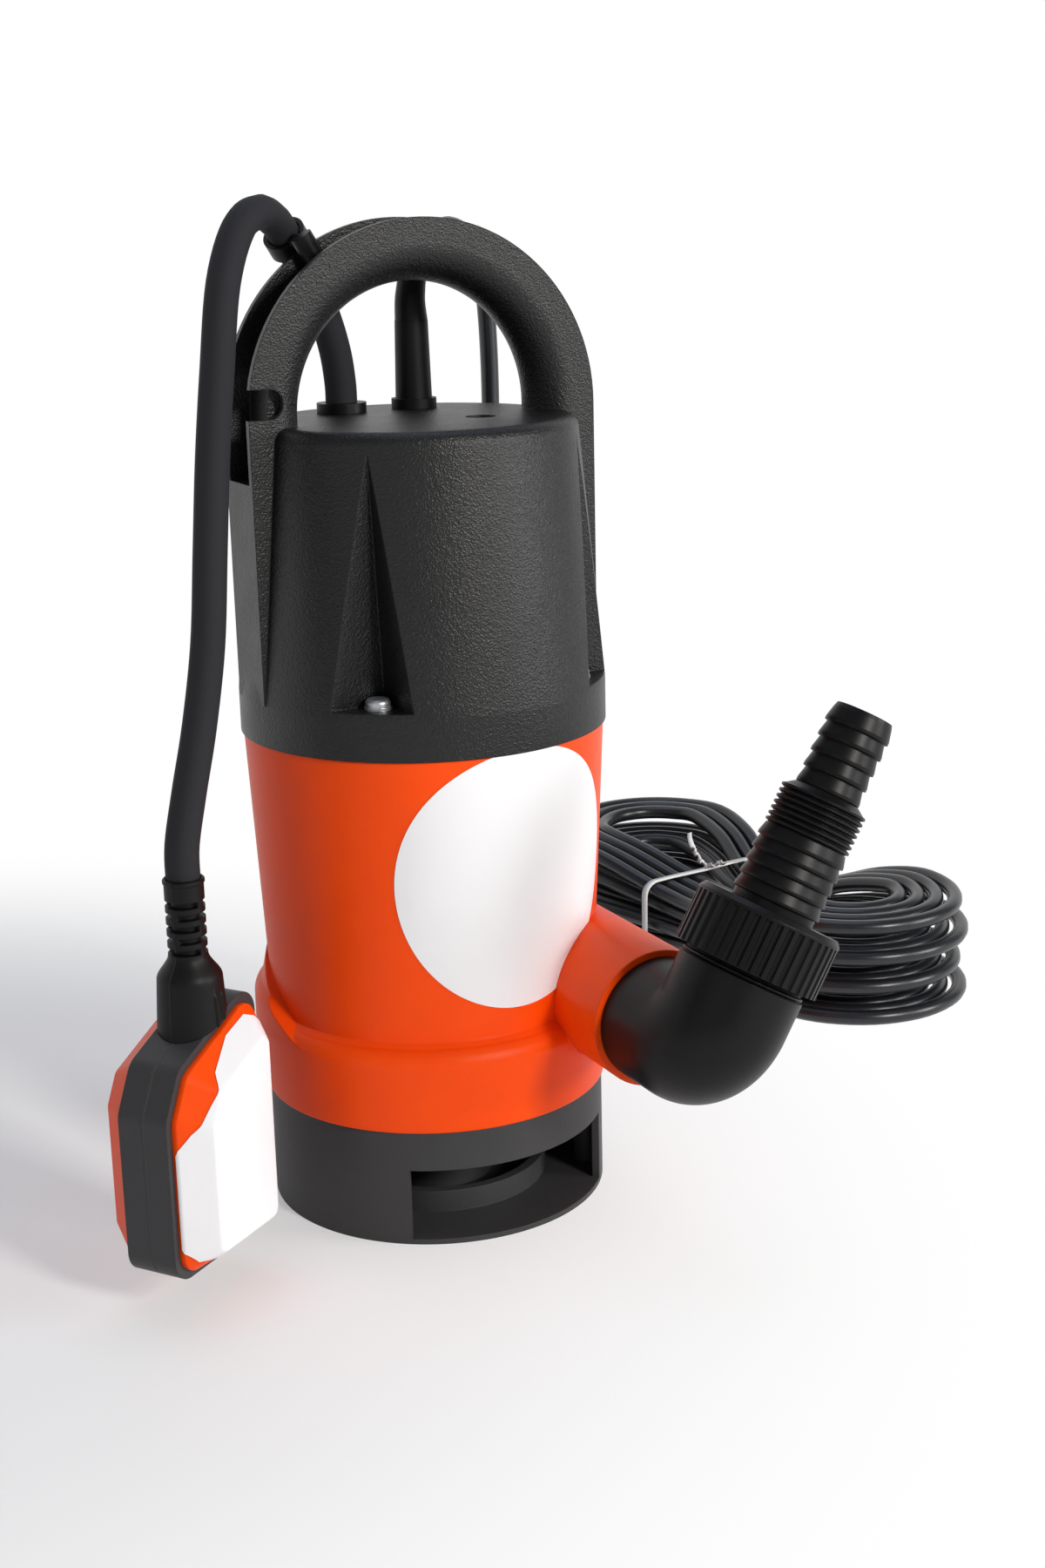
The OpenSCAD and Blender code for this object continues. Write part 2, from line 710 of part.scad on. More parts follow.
module suction_base() {
    color("#232325") difference() {
        union() {
            difference() {
                cylinder(h = base_h, r = base_r);
                translate([0, 0, base_floor]) cylinder(h = base_h, r = base_r - base_wall);
            }
            translate([0, 0, base_floor - 0.2]) ring(inlet_ring_r, inlet_ring_r - inlet_ring_t, inlet_ring_h);
            translate([0, 0, base_floor - 0.2])
                cylinder(h = inlet_cone_h, r1 = inlet_cone_r, r2 = inlet_cone_tip_r);
            at_base_screws(0) cylinder(h = base_h, r = pillar_r);
        }
        suction_window(window_from);
        suction_window(window_from + 180);
        at_base_screws(-over) cylinder(h = base_h + 2 * over, r = base_screw_r + 0.2);
        at_base_screws(-over) cylinder(h = base_screw_head_h + 1 + over, r = base_screw_head_r + loose_gap);
    }
}

module base_screws() {
    color("#c9ccd0") at_base_screws(base_screw_head_h + 1) rotate([180, 0, 0])
        pan_screw(base_screw_r, base_screw_head_r, base_screw_head_h,
            base_h - base_screw_head_h - 1 + base_screw_bite - 1);
}

module suction_plate() {
    inlet_r = 24;
    color("#2a2a2c") difference() {
        union() {
            translate([0, 0, base_h]) cylinder(h = plate_t, r = plate_r);
            translate([0, 0, base_h - 4]) cylinder(h = 5, r = inlet_r + 4);
        }
        translate([0, 0, base_h - 4 - over]) cylinder(h = plate_t + 4 + 2 * over, r = inlet_r);
        at_plate_screws(base_h - over) cylinder(h = plate_t + 2 * over, r = plate_screw_r + 0.2);
    }
}

module plate_gasket() {
    color("#111111") difference() {
        translate([0, 0, base_h + plate_t]) ring(plate_r, ledge_r + 0.5, gasket_t);
        at_plate_screws(base_h) cylinder(h = plate_t + 2 * gasket_t, r = plate_screw_r + 0.2);
    }
}

module plate_screws() {
    color("#c9ccd0") at_plate_screws(base_h) rotate([180, 0, 0])
        pan_screw(plate_screw_r, 2 * plate_screw_r, 1.6, plate_t + gasket_t + ledge_t - 0.5);
}

// Rotor line

module impeller() {
    disc_z = impeller_from + impeller_h - impeller_disc_t - 2;
    color("#3a3a3c") difference() {
        union() {
            translate([0, 0, impeller_from]) cylinder(h = impeller_h, r = hub_r);
            translate([0, 0, disc_z]) cylinder(h = impeller_disc_t, r = impeller_r);
            for (k = [0 : vane_count - 1]) rotate([0, 0, 360 * k / vane_count])
                translate([hub_r - 2, -1.5, impeller_from]) cube([impeller_r - hub_r - 1, 3, impeller_h - 4]);
        }
        translate([0, 0, impeller_from - over]) cylinder(h = impeller_h + 2 * over, r = shaft_r + 0.02);
    }
}

module impeller_nut() {
    color("#c9ccd0") difference() {
        translate([0, 0, impeller_from - impeller_nut_h])
            cylinder(h = impeller_nut_h, r = shaft_end_r + 4, $fn = 6);
        translate([0, 0, impeller_from - impeller_nut_h - over])
            cylinder(h = impeller_nut_h + 2 * over, r = shaft_end_r + 0.02);
    }
}

module shaft() {
    color("#b4b7bb") union() {
        translate([0, 0, impeller_from - impeller_nut_h - 1])
            cylinder(h = impeller_nut_h + 2, r = shaft_end_r);
        translate([0, 0, impeller_from]) cylinder(h = shield_top - 1 - impeller_from, r = shaft_r);
        translate([0, 0, lower_bearing_z + bearing_w])
            cylinder(h = upper_bearing_z - lower_bearing_z - bearing_w, r = shaft_mid_r);
    }
}

module rotor_core() {
    color("#8d8f93") translate([0, 0, stack_from]) ring(rotor_r, shaft_mid_r + 0.02, stack_h);
}

module rotor_rings() {
    ring_h = 8;
    color("#b9bcc0") for (z = [stack_from - ring_h, stack_top])
        translate([0, 0, z]) ring(rotor_r - 1.5, rotor_r - 17, ring_h);
}

module stator_core() {
    color("#77797d") translate([0, 0, stack_from]) ring(stator_r, stator_bore_r, stack_h);
}

module stator_windings() {
    color("#b2682c") for (z = [stack_from - winding_h, stack_top])
        translate([0, 0, z]) ring(stator_r - 3, stator_bore_r + 2, winding_h);
}

module motor_can() {
    color("#9a9da1") translate([0, 0, can_from]) ring(can_r, can_r - can_wall, can_top - can_from);
}

module end_shield(z, r, bearing_z) {
    difference() {
        translate([0, 0, z]) cylinder(h = shield_t, r = r);
        translate([0, 0, bearing_z]) cylinder(h = bearing_w, r = bearing_r + 0.02);
        translate([0, 0, z - over]) cylinder(h = shield_t + 2 * over, r = shaft_mid_r + 2);
    }
}

module lower_end_shield() {
    color("#a7aaae") end_shield(bulkhead_top, shield_r, lower_bearing_z);
}

module upper_end_shield() {
    color("#a7aaae") end_shield(can_top, can_r, upper_bearing_z);
}

module race_groove() {
    translate([bearing_pitch_r, bearing_w / 2]) circle(r = bearing_ball_r + run_gap);
}

module outer_race(z) {
    translate([0, 0, z]) rotate_extrude() difference() {
        translate([bearing_r - race_t, 0]) square([race_t, bearing_w]);
        race_groove();
    }
}

module inner_race(z) {
    translate([0, 0, z]) rotate_extrude() difference() {
        translate([shaft_r + 0.02, 0]) square([race_t, bearing_w]);
        race_groove();
    }
}

module bearing_balls(z) {
    for (k = [0 : 7]) rotate([0, 0, 45 * k])
        translate([bearing_pitch_r, 0, z + bearing_w / 2]) sphere(r = bearing_ball_r);
}

module lower_bearing_outer() { color("#c4c7cb") outer_race(lower_bearing_z); }
module lower_bearing_inner() { color("#c4c7cb") inner_race(lower_bearing_z); }
module lower_bearing_balls() { color("#d8dade") bearing_balls(lower_bearing_z); }
module upper_bearing_outer() { color("#c4c7cb") outer_race(upper_bearing_z); }
module upper_bearing_inner() { color("#c4c7cb") inner_race(upper_bearing_z); }
module upper_bearing_balls() { color("#d8dade") bearing_balls(upper_bearing_z); }

module seal_seat() {
    color("#d9d4c8") translate([0, 0, chamber_top]) ring(seal_bore_r, shaft_r + 0.4, bulkhead_t - 4);
}

module lip_seal() {
    color("#1a1a1a") translate([0, 0, bulkhead_top - 4]) ring(seal_bore_r, shaft_r + 0.06, 4);
}

module seal_ring() {
    color("#303234") translate([0, 0, chamber_top - seal_ring_h - 0.1])
        ring(shaft_r + 5, shaft_r + 0.02, seal_ring_h);
}

module seal_spring() {
    from = impeller_from + impeller_h;
    color("#9fa2a6") translate([0, 0, from])
        ring(shaft_r + 3.5, shaft_r + 0.5, chamber_top - seal_ring_h - 0.1 - from);
}

// Start gear under the cover

module capacitor() {
    color("#d9d9d4") translate([capacitor_at[0], capacitor_at[1], shield_top]) union() {
        cylinder(h = capacitor_h, r = capacitor_r);
        for (x = [-6, 6]) translate([x, 0, capacitor_h - 1]) cylinder(h = 5, r = 1.5);
    }
}

module capacitor_clip() {
    color("#8d8f93") translate([capacitor_at[0], capacitor_at[1], shield_top])
        ring(capacitor_r + 1.6, capacitor_r + 0.1, 12);
}

module terminal_block() {
    color("#e4e2da") translate([terminal_at[0] - 9, terminal_at[1] - 18, shield_top]) difference() {
        cube([18, 36, 14]);
        for (k = [0 : 3]) translate([9, 4.5 + 9 * k, 6]) cylinder(h = 9, r = 2);
    }
}

// Cable fittings

module gland(stem_r, collar_r, collar_h) {
    cylinder(h = collar_h, r = collar_r);
    translate([0, 0, -cover_wall - 6]) cylinder(h = cover_wall + 7, r = stem_r);
    translate([0, 0, -cover_wall - 5]) cylinder(h = 5, r = collar_r, $fn = 6);
}

module mains_gland() {
    stem = cord_d / 2 + 2.2;
    sleeve = mains_sleeve_top - deck_z;
    color("#161617") translate([gland_x, gland_y, deck_z]) union() {
        gland(stem, stem + 3, 4);
        cylinder(h = sleeve, r1 = cord_d / 2 + 3.6, r2 = cord_d / 2 + 2.8);
    }
}

module float_gland() {
    stem = float_cable_d / 2 + 1;
    color("#161617") translate([-gland_x, gland_y, deck_z]) gland(stem, stem + 2.5, float_collar_h);
}

// Clip that seats in the handle's groove and holds the float cable
module cable_clip() {
    last = len(float_fixed_route) - 1;
    d = unit(float_fixed_route[last] - float_fixed_route[last - 1]);
    at = float_fixed_route[last] - 5 * d;
    turn = atan2(d[1], d[0]);
    tip = acos(d[2]);
    out = unit([at[0], 0, at[2] - arch_z]);
    lean = atan2(out[0], out[2]);
    post_r = 4.2;
    post_y = groove_w / 2 - post_r - loose_gap;
    arm_r = 2.6;
    knee = [0, arch_z] + (handle_r + arm_r + loose_gap) * [out[0], out[2]];
    color("#141415") difference() {
        union() {
            translate(at) rotate([0, tip, turn]) translate([0, 0, -clip_w / 2])
                cylinder(h = clip_w, r = float_cable_d / 2 + 2);
            translate([0, 0, arch_z]) rotate([0, lean, 0]) translate([0, post_y, grip_at])
                cylinder(h = rim_w + 2 * arm_r + loose_gap, r = post_r);
            rod([knee[0], post_y, knee[1]], at, arm_r);
        }
        translate(at) rotate([0, tip, turn]) translate([0, 0, -2 * clip_w])
            cylinder(h = 4 * clip_w, r = float_cable_d / 2 + loose_gap);
    }
}

// Outlet line

// Hollow pipe along +Y
module pipe_y(from, to, r, bore) {
    translate([0, from, 0]) rotate([-90, 0, 0]) rotate_extrude()
        translate([bore, 0]) square([r - bore, to - from]);
}

// Outline of a ridged thread: flat crests of radius r with a groove between turns
function ridges(r, depth, pitch, from, turns) = [for (k = [0 : turns - 1]) let (z = from + k * pitch)
    each [[r - depth, z], [r - depth, z + 0.15 * pitch], [r, z + 0.4 * pitch],
    [r, z + 0.75 * pitch], [r - depth, z + pitch]]];

// Quarter turn of a section about the axis that a bend of radius r turns on
module at_bend(r) {
    translate([0, r, r]) rotate([-90, 0, 0]) rotate([0, 90, 0]) rotate_extrude(angle = 90) children();
}

module outlet_elbow() {
    collar_top = bend_r + 2;
    turns = floor((elbow_end - collar_top) / thread_pitch);
    color("#1b1b1d") at_elbow() union() {
        difference() {
            union() {
                at_bend(corner_r) intersection() {
                    translate([corner_r, 0]) circle(r = elbow_r);
                    translate([0, -elbow_r]) square(2 * elbow_r);
                }
                pipe_y(corner_r, bend_r, elbow_r, 0);
                translate([0, 0, corner_r]) cylinder(h = bend_r - corner_r, r = elbow_r);
            }
            at_bend(bend_r) translate([bend_r, 0]) circle(r = elbow_bore_r);
        }
        pipe_y(bend_r, elbow_reach - loose_gap, elbow_r, elbow_bore_r);
        pipe_y(elbow_reach - loose_gap, elbow_reach + spigot_len, pipe_r, elbow_bore_r);
        rotate_extrude() polygon(concat([[elbow_bore_r, bend_r], [elbow_r, bend_r], [elbow_r, collar_top]],
            ridges(pipe_r, 1.2, thread_pitch, collar_top, turns),
            [[pipe_r - 1.2, elbow_end], [elbow_bore_r, elbow_end]]));
    }
}

module elbow_gasket() {
    color("#0f0f10") translate([outlet_x, -mouth_y + spigot_len + 2, outlet_z]) rotate([90, 0, 0])
        ring(pipe_r - 0.2, elbow_bore_r + 1, 2 - run_gap);
}

// One barb: a steep shoulder below and a long taper above, with a short land
module barbs(r, depth, step, count) {
    rotate_extrude() polygon(concat([[0, 0]], [for (k = [0 : count - 1]) let (z = k * step)
        each [[r - depth, z], [r, z + 0.05 * step], [r, z + 0.25 * step], [r - depth, z + step]]],
        [[0, count * step]]));
}

module hose_adapter() {
    lower_from = thread_from - lower_barbs * lower_barb_step;
    neck = barb_big_r - barb_depth;
    root = thread_r - thread_depth;
    tip_r = barb_small_r - barb_depth;
    color("#202022") at_elbow() difference() {
        union() {
            translate([0, 0, flange_from]) cylinder(h = flange_h, r = pipe_r - flange_play);
            translate([0, 0, flange_from]) cylinder(h = lower_from - flange_from, r = neck);
            translate([0, 0, lower_from]) barbs(barb_big_r, barb_depth, lower_barb_step, lower_barbs);
            rotate_extrude() polygon(concat([[0, thread_from]],
                ridges(thread_r, thread_depth, thread_pitch, thread_from, thread_turns),
                [[0, upper_from - thread_run_out]]));
            translate([0, 0, upper_from - thread_run_out])
                cylinder(h = thread_run_out, r1 = root, r2 = barb_small_r);
            translate([0, 0, upper_from]) barbs(barb_small_r, barb_depth, upper_barb_step, upper_barbs);
            translate([0, 0, adapter_top - adapter_tip_h])
                cylinder(h = adapter_tip_h, r1 = tip_r, r2 = tip_r - adapter_tip_h / 3);
        }
        translate([0, 0, flange_from - over]) cylinder(h = adapter_top, r = adapter_bore_r);
        translate([0, 0, flange_from - over])
            cylinder(h = thread_from - flange_from - adapter_step, r = neck - adapter_wall);
    }
}

module adapter_gasket() {
    color("#0f0f10") at_elbow() translate([0, 0, elbow_end]) ring(pipe_r - 0.5, elbow_bore_r, seat_t);
}

module union_nut() {
    neck = barb_big_r + 0.25;
    color("#1d1d1f") at_elbow() difference() {
        translate([0, 0, nut_from]) union() {
            cylinder(h = nut_h - 2, r = nut_r);
            translate([0, 0, nut_h - 2.01]) cylinder(h = 2.01, r1 = nut_r, r2 = nut_r - 1.6);
        }
        translate([0, 0, nut_from - over]) cylinder(h = lip_from - nut_from + over, r = pipe_r + run_gap);
        translate([0, 0, lip_from - over]) cylinder(h = nut_h, r = neck);
        for (k = [0 : nut_grooves - 1]) rotate([0, 0, 360 * k / nut_grooves])
            translate([nut_r + 0.2, 0, nut_from - over]) cylinder(h = nut_h - 2, r = 1.25);
    }
}

// Float switch

// Height of the float's slanted top at x
function slant_z(x) = float_top + x * tan(top_slant);

module float_outline(inset) {
    half = float_w / 2;
    shoulder = half - 9;
    offset(r = float_round - inset / 2) offset(delta = -float_round - inset / 2)
        polygon([[-half, float_bottom], [half, float_bottom], [half, slant_z(half)],
        [-shoulder, slant_z(-shoulder)], [-half, slant_z(-half) - 13]]);
}

// Flat slab of the outline between two depths, toward +Y
module float_slab(inset, from, to) {
    translate([0, to, 0]) rotate([90, 0, 0]) linear_extrude(to - from) float_outline(inset);
}

module float_band() {
    color("#1c1c1e") at_float() difference() {
        float_slab(0, -band_t / 2, band_t / 2);
        float_slab(2 * band_ring_w, -band_t, band_t);
    }
}

// Domed half shell on the +Y side
module float_shell() {
    from = band_t / 2;
    difference() {
        hull() {
            float_slab(3, from, from + 2);
            float_slab(2 * shell_taper, from + shell_h - 1, from + shell_h);
        }
        hull() {
            float_slab(3 + 2 * shell_wall, from - 1, from + 2);
            float_slab(2 * shell_taper + shell_wall, from + shell_h - shell_wall - 1,
                from + shell_h - shell_wall);
        }
    }
}

module float_shell_front() {
    color("#f4570f") at_float() mirror([0, 1, 0]) float_shell();
}

module float_shell_rear() {
    color("#f4570f") at_float() float_shell();
}

module float_boot() {
    neck_from = 0.5 * boot_h;
    ribs = 5;
    rib_step = 4.4;
    color("#171718") at_float() difference() {
        translate([boot_x, 0, boot_from])
            rotate_extrude() polygon(concat([[0, 0], [boot_r, 0], [boot_r - 0.9, 0.38 * boot_h],
                [boot_neck_r, neck_from]], [for (k = [0 : ribs - 1]) let (z = neck_from + 1.5 + k * rib_step)
                each [[boot_neck_r, z], [boot_neck_r - 1.2, z + 0.5], [boot_neck_r - 1.2, z + 2.2],
                [boot_neck_r, z + 2.7]]], [[boot_neck_r, boot_h], [0, boot_h]]));
        translate([0, 0, float_top]) rotate([0, -top_slant, 0])
            translate([-float_w, -float_w, -2 * float_w]) cube(2 * float_w);
    }
}

module ball_guide() {
    plate_t = 3;
    color("#cfcfc8") at_float() difference() {
        union() {
            intersection() {
                float_slab(2 * band_ring_w + 0.4, -plate_t / 2, plate_t / 2);
                translate([-float_w, -plate_t, guide_bottom - 2]) cube([2 * float_w, 2 * plate_t, 30]);
            }
            translate([0, 0, guide_bottom - 2])
                cylinder(h = guide_top - guide_bottom + 2, r = ball_r + guide_wall);
        }
        translate([0, 0, guide_bottom]) cylinder(h = guide_top - guide_bottom + over, r = ball_r + 0.1);
    }
}

module float_ball() {
    color("#c4c7cb") at_float() translate([0, 0, ball_at]) sphere(r = ball_r);
}

module microswitch() {
    color("#26262a") at_float() difference() {
        translate([-10, -5, guide_top]) cube([20, 10, 13]);
        translate([0, 0, guide_top - over])
            cylinder(h = plunger_from + plunger_h + plunger_way + 0.5 - guide_top + over,
                r = plunger_r + run_gap);
    }
}

module switch_plunger() {
    color("#c23b2a") at_float() translate([0, 0, plunger_from]) cylinder(h = plunger_h, r = plunger_r);
}

// Cords and what is on them

module float_cable_fixed() {
    color("#161617") tube(curve(float_fixed_route, route_steps), float_cable_d / 2, tube_sides);
}

module float_cable() {
    color("#161617") union() {
        tube(curve(float_free_route, route_steps), float_cable_d / 2, tube_sides);
        translate(float_pivot) sphere(r = float_cable_d / 2, $fn = 24);
    }
}

module mains_cord() {
    color("#161617") tube(curve(mains_route, route_steps), cord_d / 2, 8);
}

module mains_hank() {
    color("#161617") tube(hank_pts, cord_d / 2, hank_sides);
}

module plug_lead() {
    color("#161617") tube(curve(plug_route, route_steps), cord_d / 2, 8);
}

module hank_tie() {
    near = pow(cos(90 * tie_at / hank_half_run), 2);
    half = hank_half_w - hank_draw * near + cord_d / 2 + 0.8;
    top = hank_floor + hank_lift * near + cord_d / 2 + 0.6
        + layer_step * (hank_layers - 1) * (1 + hank_fan * (1 - near));
    bottom = hank_floor + hank_lift * near - cord_d / 2 - 0.5;
    wire = 0.9;
    color("#f2f2f0") translate([hank_at[0], hank_at[1], 0]) rotate([0, 0, hank_turn])
        translate([tie_at, 0, 0]) {
        translate([-1.5, 0, 0]) rotate([90, 0, 90]) linear_extrude(3) difference() {
            translate([-half - wire, bottom - wire]) square([2 * (half + wire), top - bottom + 2 * wire]);
            translate([-half, bottom]) square([2 * half, top - bottom]);
        }
        knot = [0, 8, top + wire / 2];
        for (end = [[32, 12, 9], [-26, 2, 8]]) rod(knot, knot + end, 0.4 * wire);
    }
}

module plug_body() {
    boot_r1 = cord_d / 2 + 7;
    color("#161617") translate(plug_at) rotate([90, 0, 0]) union() {
        rotate_extrude() polygon([[0, 0], [15, 0], [plug_r, 8], [plug_r, plug_len - 2],
            [plug_r - 2, plug_len], [0, plug_len]]);
        translate([0, 0, -plug_boot_len])
            cylinder(h = plug_boot_len + 0.1, r1 = cord_d / 2 + 1.2, r2 = boot_r1);
    }
}

module plug_pins() {
    color("#c9ccd0") for (s = [-1, 1])
        translate(plug_at + [s * pin_spacing / 2, -plug_len, 0])
            rotate([90, 0, 0]) cylinder(h = pin_len, r = pin_r);
}

top_cover();
cover_screws();
cover_washers();
cover_oring();
pump_housing();
suction_base();
base_screws();
suction_plate();
plate_gasket();
plate_screws();
impeller();
impeller_nut();
shaft();
rotor_core();
rotor_rings();
stator_core();
stator_windings();
motor_can();
lower_end_shield();
upper_end_shield();
lower_bearing_outer();
lower_bearing_inner();
lower_bearing_balls();
upper_bearing_outer();
upper_bearing_inner();
upper_bearing_balls();
seal_seat();
seal_ring();
seal_spring();
lip_seal();
capacitor();
capacitor_clip();
terminal_block();
mains_gland();
float_gland();
cable_clip();
outlet_elbow();
elbow_gasket();
hose_adapter();
adapter_gasket();
union_nut();
float_shell_front();
float_shell_rear();
float_band();
float_boot();
ball_guide();
float_ball();
microswitch();
switch_plunger();
float_cable_fixed();
float_cable();
mains_cord();
mains_hank();
hank_tie();
plug_lead();
plug_body();
plug_pins();
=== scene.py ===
"""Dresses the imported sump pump: cords, labels, finishes, floor, lamps and camera."""
import math

import bmesh
import bpy
from bpy.props import FloatProperty, FloatVectorProperty, PointerProperty
from mathutils import Matrix, Quaternion, Vector
from mathutils.bvhtree import BVHTree


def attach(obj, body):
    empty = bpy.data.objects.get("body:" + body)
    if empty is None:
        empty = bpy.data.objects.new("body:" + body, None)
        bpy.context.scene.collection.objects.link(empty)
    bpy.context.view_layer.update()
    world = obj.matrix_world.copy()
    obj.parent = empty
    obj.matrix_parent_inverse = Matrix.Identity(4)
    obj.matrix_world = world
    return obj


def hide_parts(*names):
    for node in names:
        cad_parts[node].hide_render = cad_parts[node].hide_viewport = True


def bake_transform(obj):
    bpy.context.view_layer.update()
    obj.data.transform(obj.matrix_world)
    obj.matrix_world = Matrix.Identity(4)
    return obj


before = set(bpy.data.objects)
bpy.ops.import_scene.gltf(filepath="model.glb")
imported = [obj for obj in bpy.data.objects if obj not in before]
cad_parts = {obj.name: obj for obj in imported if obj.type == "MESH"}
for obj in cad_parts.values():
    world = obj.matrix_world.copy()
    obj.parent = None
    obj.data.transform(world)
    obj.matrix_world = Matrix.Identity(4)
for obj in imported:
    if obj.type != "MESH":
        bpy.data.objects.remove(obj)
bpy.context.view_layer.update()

bl_info = {
    "name": "Sump pump looks",
    "version": (1, 0, 0),
    "blender": (4, 5, 0),
    "location": "3D View > Sidebar > Sump pump",
    "description": "Cords, labels, finishes and studio for the packed sump pump",
    "category": "Object",
}

MM = 0.001

# Camera: width of its sensor in millimetres, shift of its frame, nearest distance in metres
SENSOR = 36
FRAME_SHIFT = 0.0067
NEAREST = 0.02
# Studio in metres: half the floor's width, the backdrop's place and height, the bend before it
FLOOR_HALF = 12
BACKDROP_Y = 2.2
BACKDROP_TOP = 4
BACKDROP_BEND = 1.2
# Shadow on the floor in metres: its middle, and where it begins and ends to fade to white
SHADOW_AT = (-0.26, 0.1, 0)
SHADOW_FROM = 0.2
SHADOW_TO = 0.52
# Share of plain white in the middle of the shadow
SHADOW_LIFT = 0.3
# Point that every lamp faces, in metres
LAMP_AIM = (0.02, -0.02, 0.16)

# Patterns in millimetres: sink marks of a moulding, bloom on rubber, ripples in a label's film
SINK_MARKS = 14
RUBBER_BLOOM = 18
FILM_RIPPLES = 22
# Pits of a moulding, in grains
PIT_GRAINS = 2.3
# Rays that soften an edge
EDGE_SAMPLES = 4

# Lengths from here on are in millimetres. Routes of the cords, as the part's source gives them
FLOAT_ROUTE = (
    (-15.5, 33.5, 316), (-15.7, 33.5, 324), (-17.5, 33, 336), (-22, 31.5, 350),
    (-29, 28.5, 363), (-36, 24.5, 374.5), (-41.8, 20.3, 381.7), (-46, 17, 385.5),
    (-54, 10.5, 388.5), (-65, 2.5, 383), (-75, -6, 364), (-82, -14, 334),
    (-88, -21, 304), (-93, -27, 272), (-98, -33, 240), (-105, -39, 212),
    (-112, -44.2, 190), (-116.9, -47.4, 172), (-117.5, -47.8, 160),
)
MAINS_ROUTE = (
    (15.5, 33.5, 346), (15.5, 33.5, 356), (20, 36.5, 369), (31, 43.5, 379),
    (44, 52.5, 381), (56, 60.5, 373), (63, 65.5, 357), (66, 68, 330), (67, 70, 290),
    (68, 73, 240), (70, 77, 190), (71, 83, 140), (72, 93, 95), (73, 108, 57),
    (74, 130, 28), (76, 158, 11), (80, 190, 5), (88, 222, 4.2), (102, 252, 4.1),
    (123, 277, 4.1), (150, 294, 4.1), (180, 302, 4.1), (211.4, 305.5, 4.1),
    (223.3, 307.1, 4.1),
)
PLUG_ROUTE = (
    (193, 262.8, 49.5), (186.5, 276.5, 47), (173, 285.5, 42.5), (157, 284.5, 36.5),
    (144, 275, 30.5), (137, 259, 24.5), (135, 243, 20.5), (135, 230, 19.2),
    (135, 220, 19.2),
)
# Points on each span of a cord's curve
MAINS_STEPS = 5
FLOAT_STEPS = 6
# Bend relief: points of the mains route it follows, steps on a span, steps kept, thickness, taper
RELIEF_POINTS = 4
RELIEF_STEPS = 14
RELIEF_KEPT = 36
RELIEF_THICK = 13
RELIEF_TAPER = 0.25

# Hank: its middle, its turn, half the length of a run and half the width of the widest loop
HANK_AT = (262, 172)
HANK_TURN = math.radians(98)
HANK_RUN = 80
HANK_WIDE = 58
# Hank: how much narrower each loop is, height of a layer, loops in a layer, layers
HANK_STEP = 9.2
HANK_LAYER = 8.2
HANK_LOOPS = 4
HANK_LAYERS = 4
# Hank: how far the tie draws the runs in, how far the folds fan out, lift at the waist
HANK_DRAW = 17
HANK_FAN = 0.85
HANK_LIFT = 1.6
# Hank: height of the lowest cord's middle, points on a loop, points before the first loop
HANK_FLOOR = 4.1
HANK_RINGS = 24
HANK_LEAD = 3
# Hank, in shares of a loop: the climb to the next layer, what the last loop lacks, and a sliver
# that keeps the last point on its run
HANK_CLIMB = 0.25
HANK_SHORT = 0.25
HANK_SLIVER = 0.0001
# Twist tie: where along the hank it sits, its width, thickness and bend at a corner
TIE_AT = 25
TIE_WIDE = 4
TIE_THICK = 0.7
TIE_BEND = 7
# Twist tie: how far it passes beside, under and over the middle of the outermost cords
TIE_BESIDE = 4.6
TIE_UNDER = 4.3
TIE_OVER = 4.4
# Twist tie: longest edge left whole, cuts in a longer one, sway of its top and length of the sway
TIE_EDGE = 8
TIE_CUTS = 7
TIE_SWAY = 0.5
TIE_WAVE = 7
# Wrung ends of the tie: reach, rise and turns of each, width, cuts, and drift across the hank
TAILS = ((30, 9, 2.5), (-24, 7, 2))
TAIL_WIDE = 3.2
TAIL_CUTS = 28
TAIL_DRIFT = 14
# Knot of the tie: its place across the hank, and its height over the strip
KNOT_ACROSS = -8
KNOT_UP = 1.6

# Housing: height of the cover's seam; foot, height, least and mean radius and spread of the wall
SEAM_Z = 194
WALL_FROM = 104
WALL_H = 90
WALL_LEAST = 66.5
WALL_MEAN = 68.6
WALL_SPREAD = 4.3
# Outlet boss: its place, its radius, and how far the body label goes in under its edge
BOSS_X = 50.5
BOSS_Z = 89
BOSS_R = 27
BOSS_UNDER = 1.5
# Body label: rings and spokes of its mesh
LABEL_RINGS = 28
LABEL_SPOKES = 120

# Where the float hangs: its centre and its turn about the upright axis
FLOAT_AT = (-121.3, -50.6, 58)
FLOAT_TURN = math.radians(36)
# The float's top on its own axes, which its boot is cut to: height at the middle, and slant
FLOAT_TOP = 47
TOP_SLANT = math.radians(22.7)
# Boot on the float's own axes: its axis, lowest point and height, and the steps of its spin
BOOT_X = 4.75
BOOT_FROM = 43.5
BOOT_H = 58.5
BOOT_STEPS = 144
# Boot: radius past which its skin has relief, and the angle past which an edge is sharp
BOOT_SKIN = 5
BOOT_CREASE = math.radians(38)
# Outline of the boot, as radius and height: tapered collar, shoulder, neck and lip
COLLAR_R = 13.1
COLLAR_TAPER = 0.055
COLLAR_LEVELS = (-0.5, 2, 3, 4, 8, 12, 15, 16, 17, 20)
SHOULDER = (
    (11.9, 21.6), (11.5, 22.8), (10.6, 24.2), (9.2, 26), (8.1, 27.6), (7.5, 28.8), (7.25, 29.8),
)
NECK_R = 7.2
LIP = (
    (7.2, 56.6), (7.6, 57), (7.6, 58), (7.2, BOOT_H), (6.6, BOOT_H), (6.4, 57.8), (6.1, 57),
    (0, 57),
)
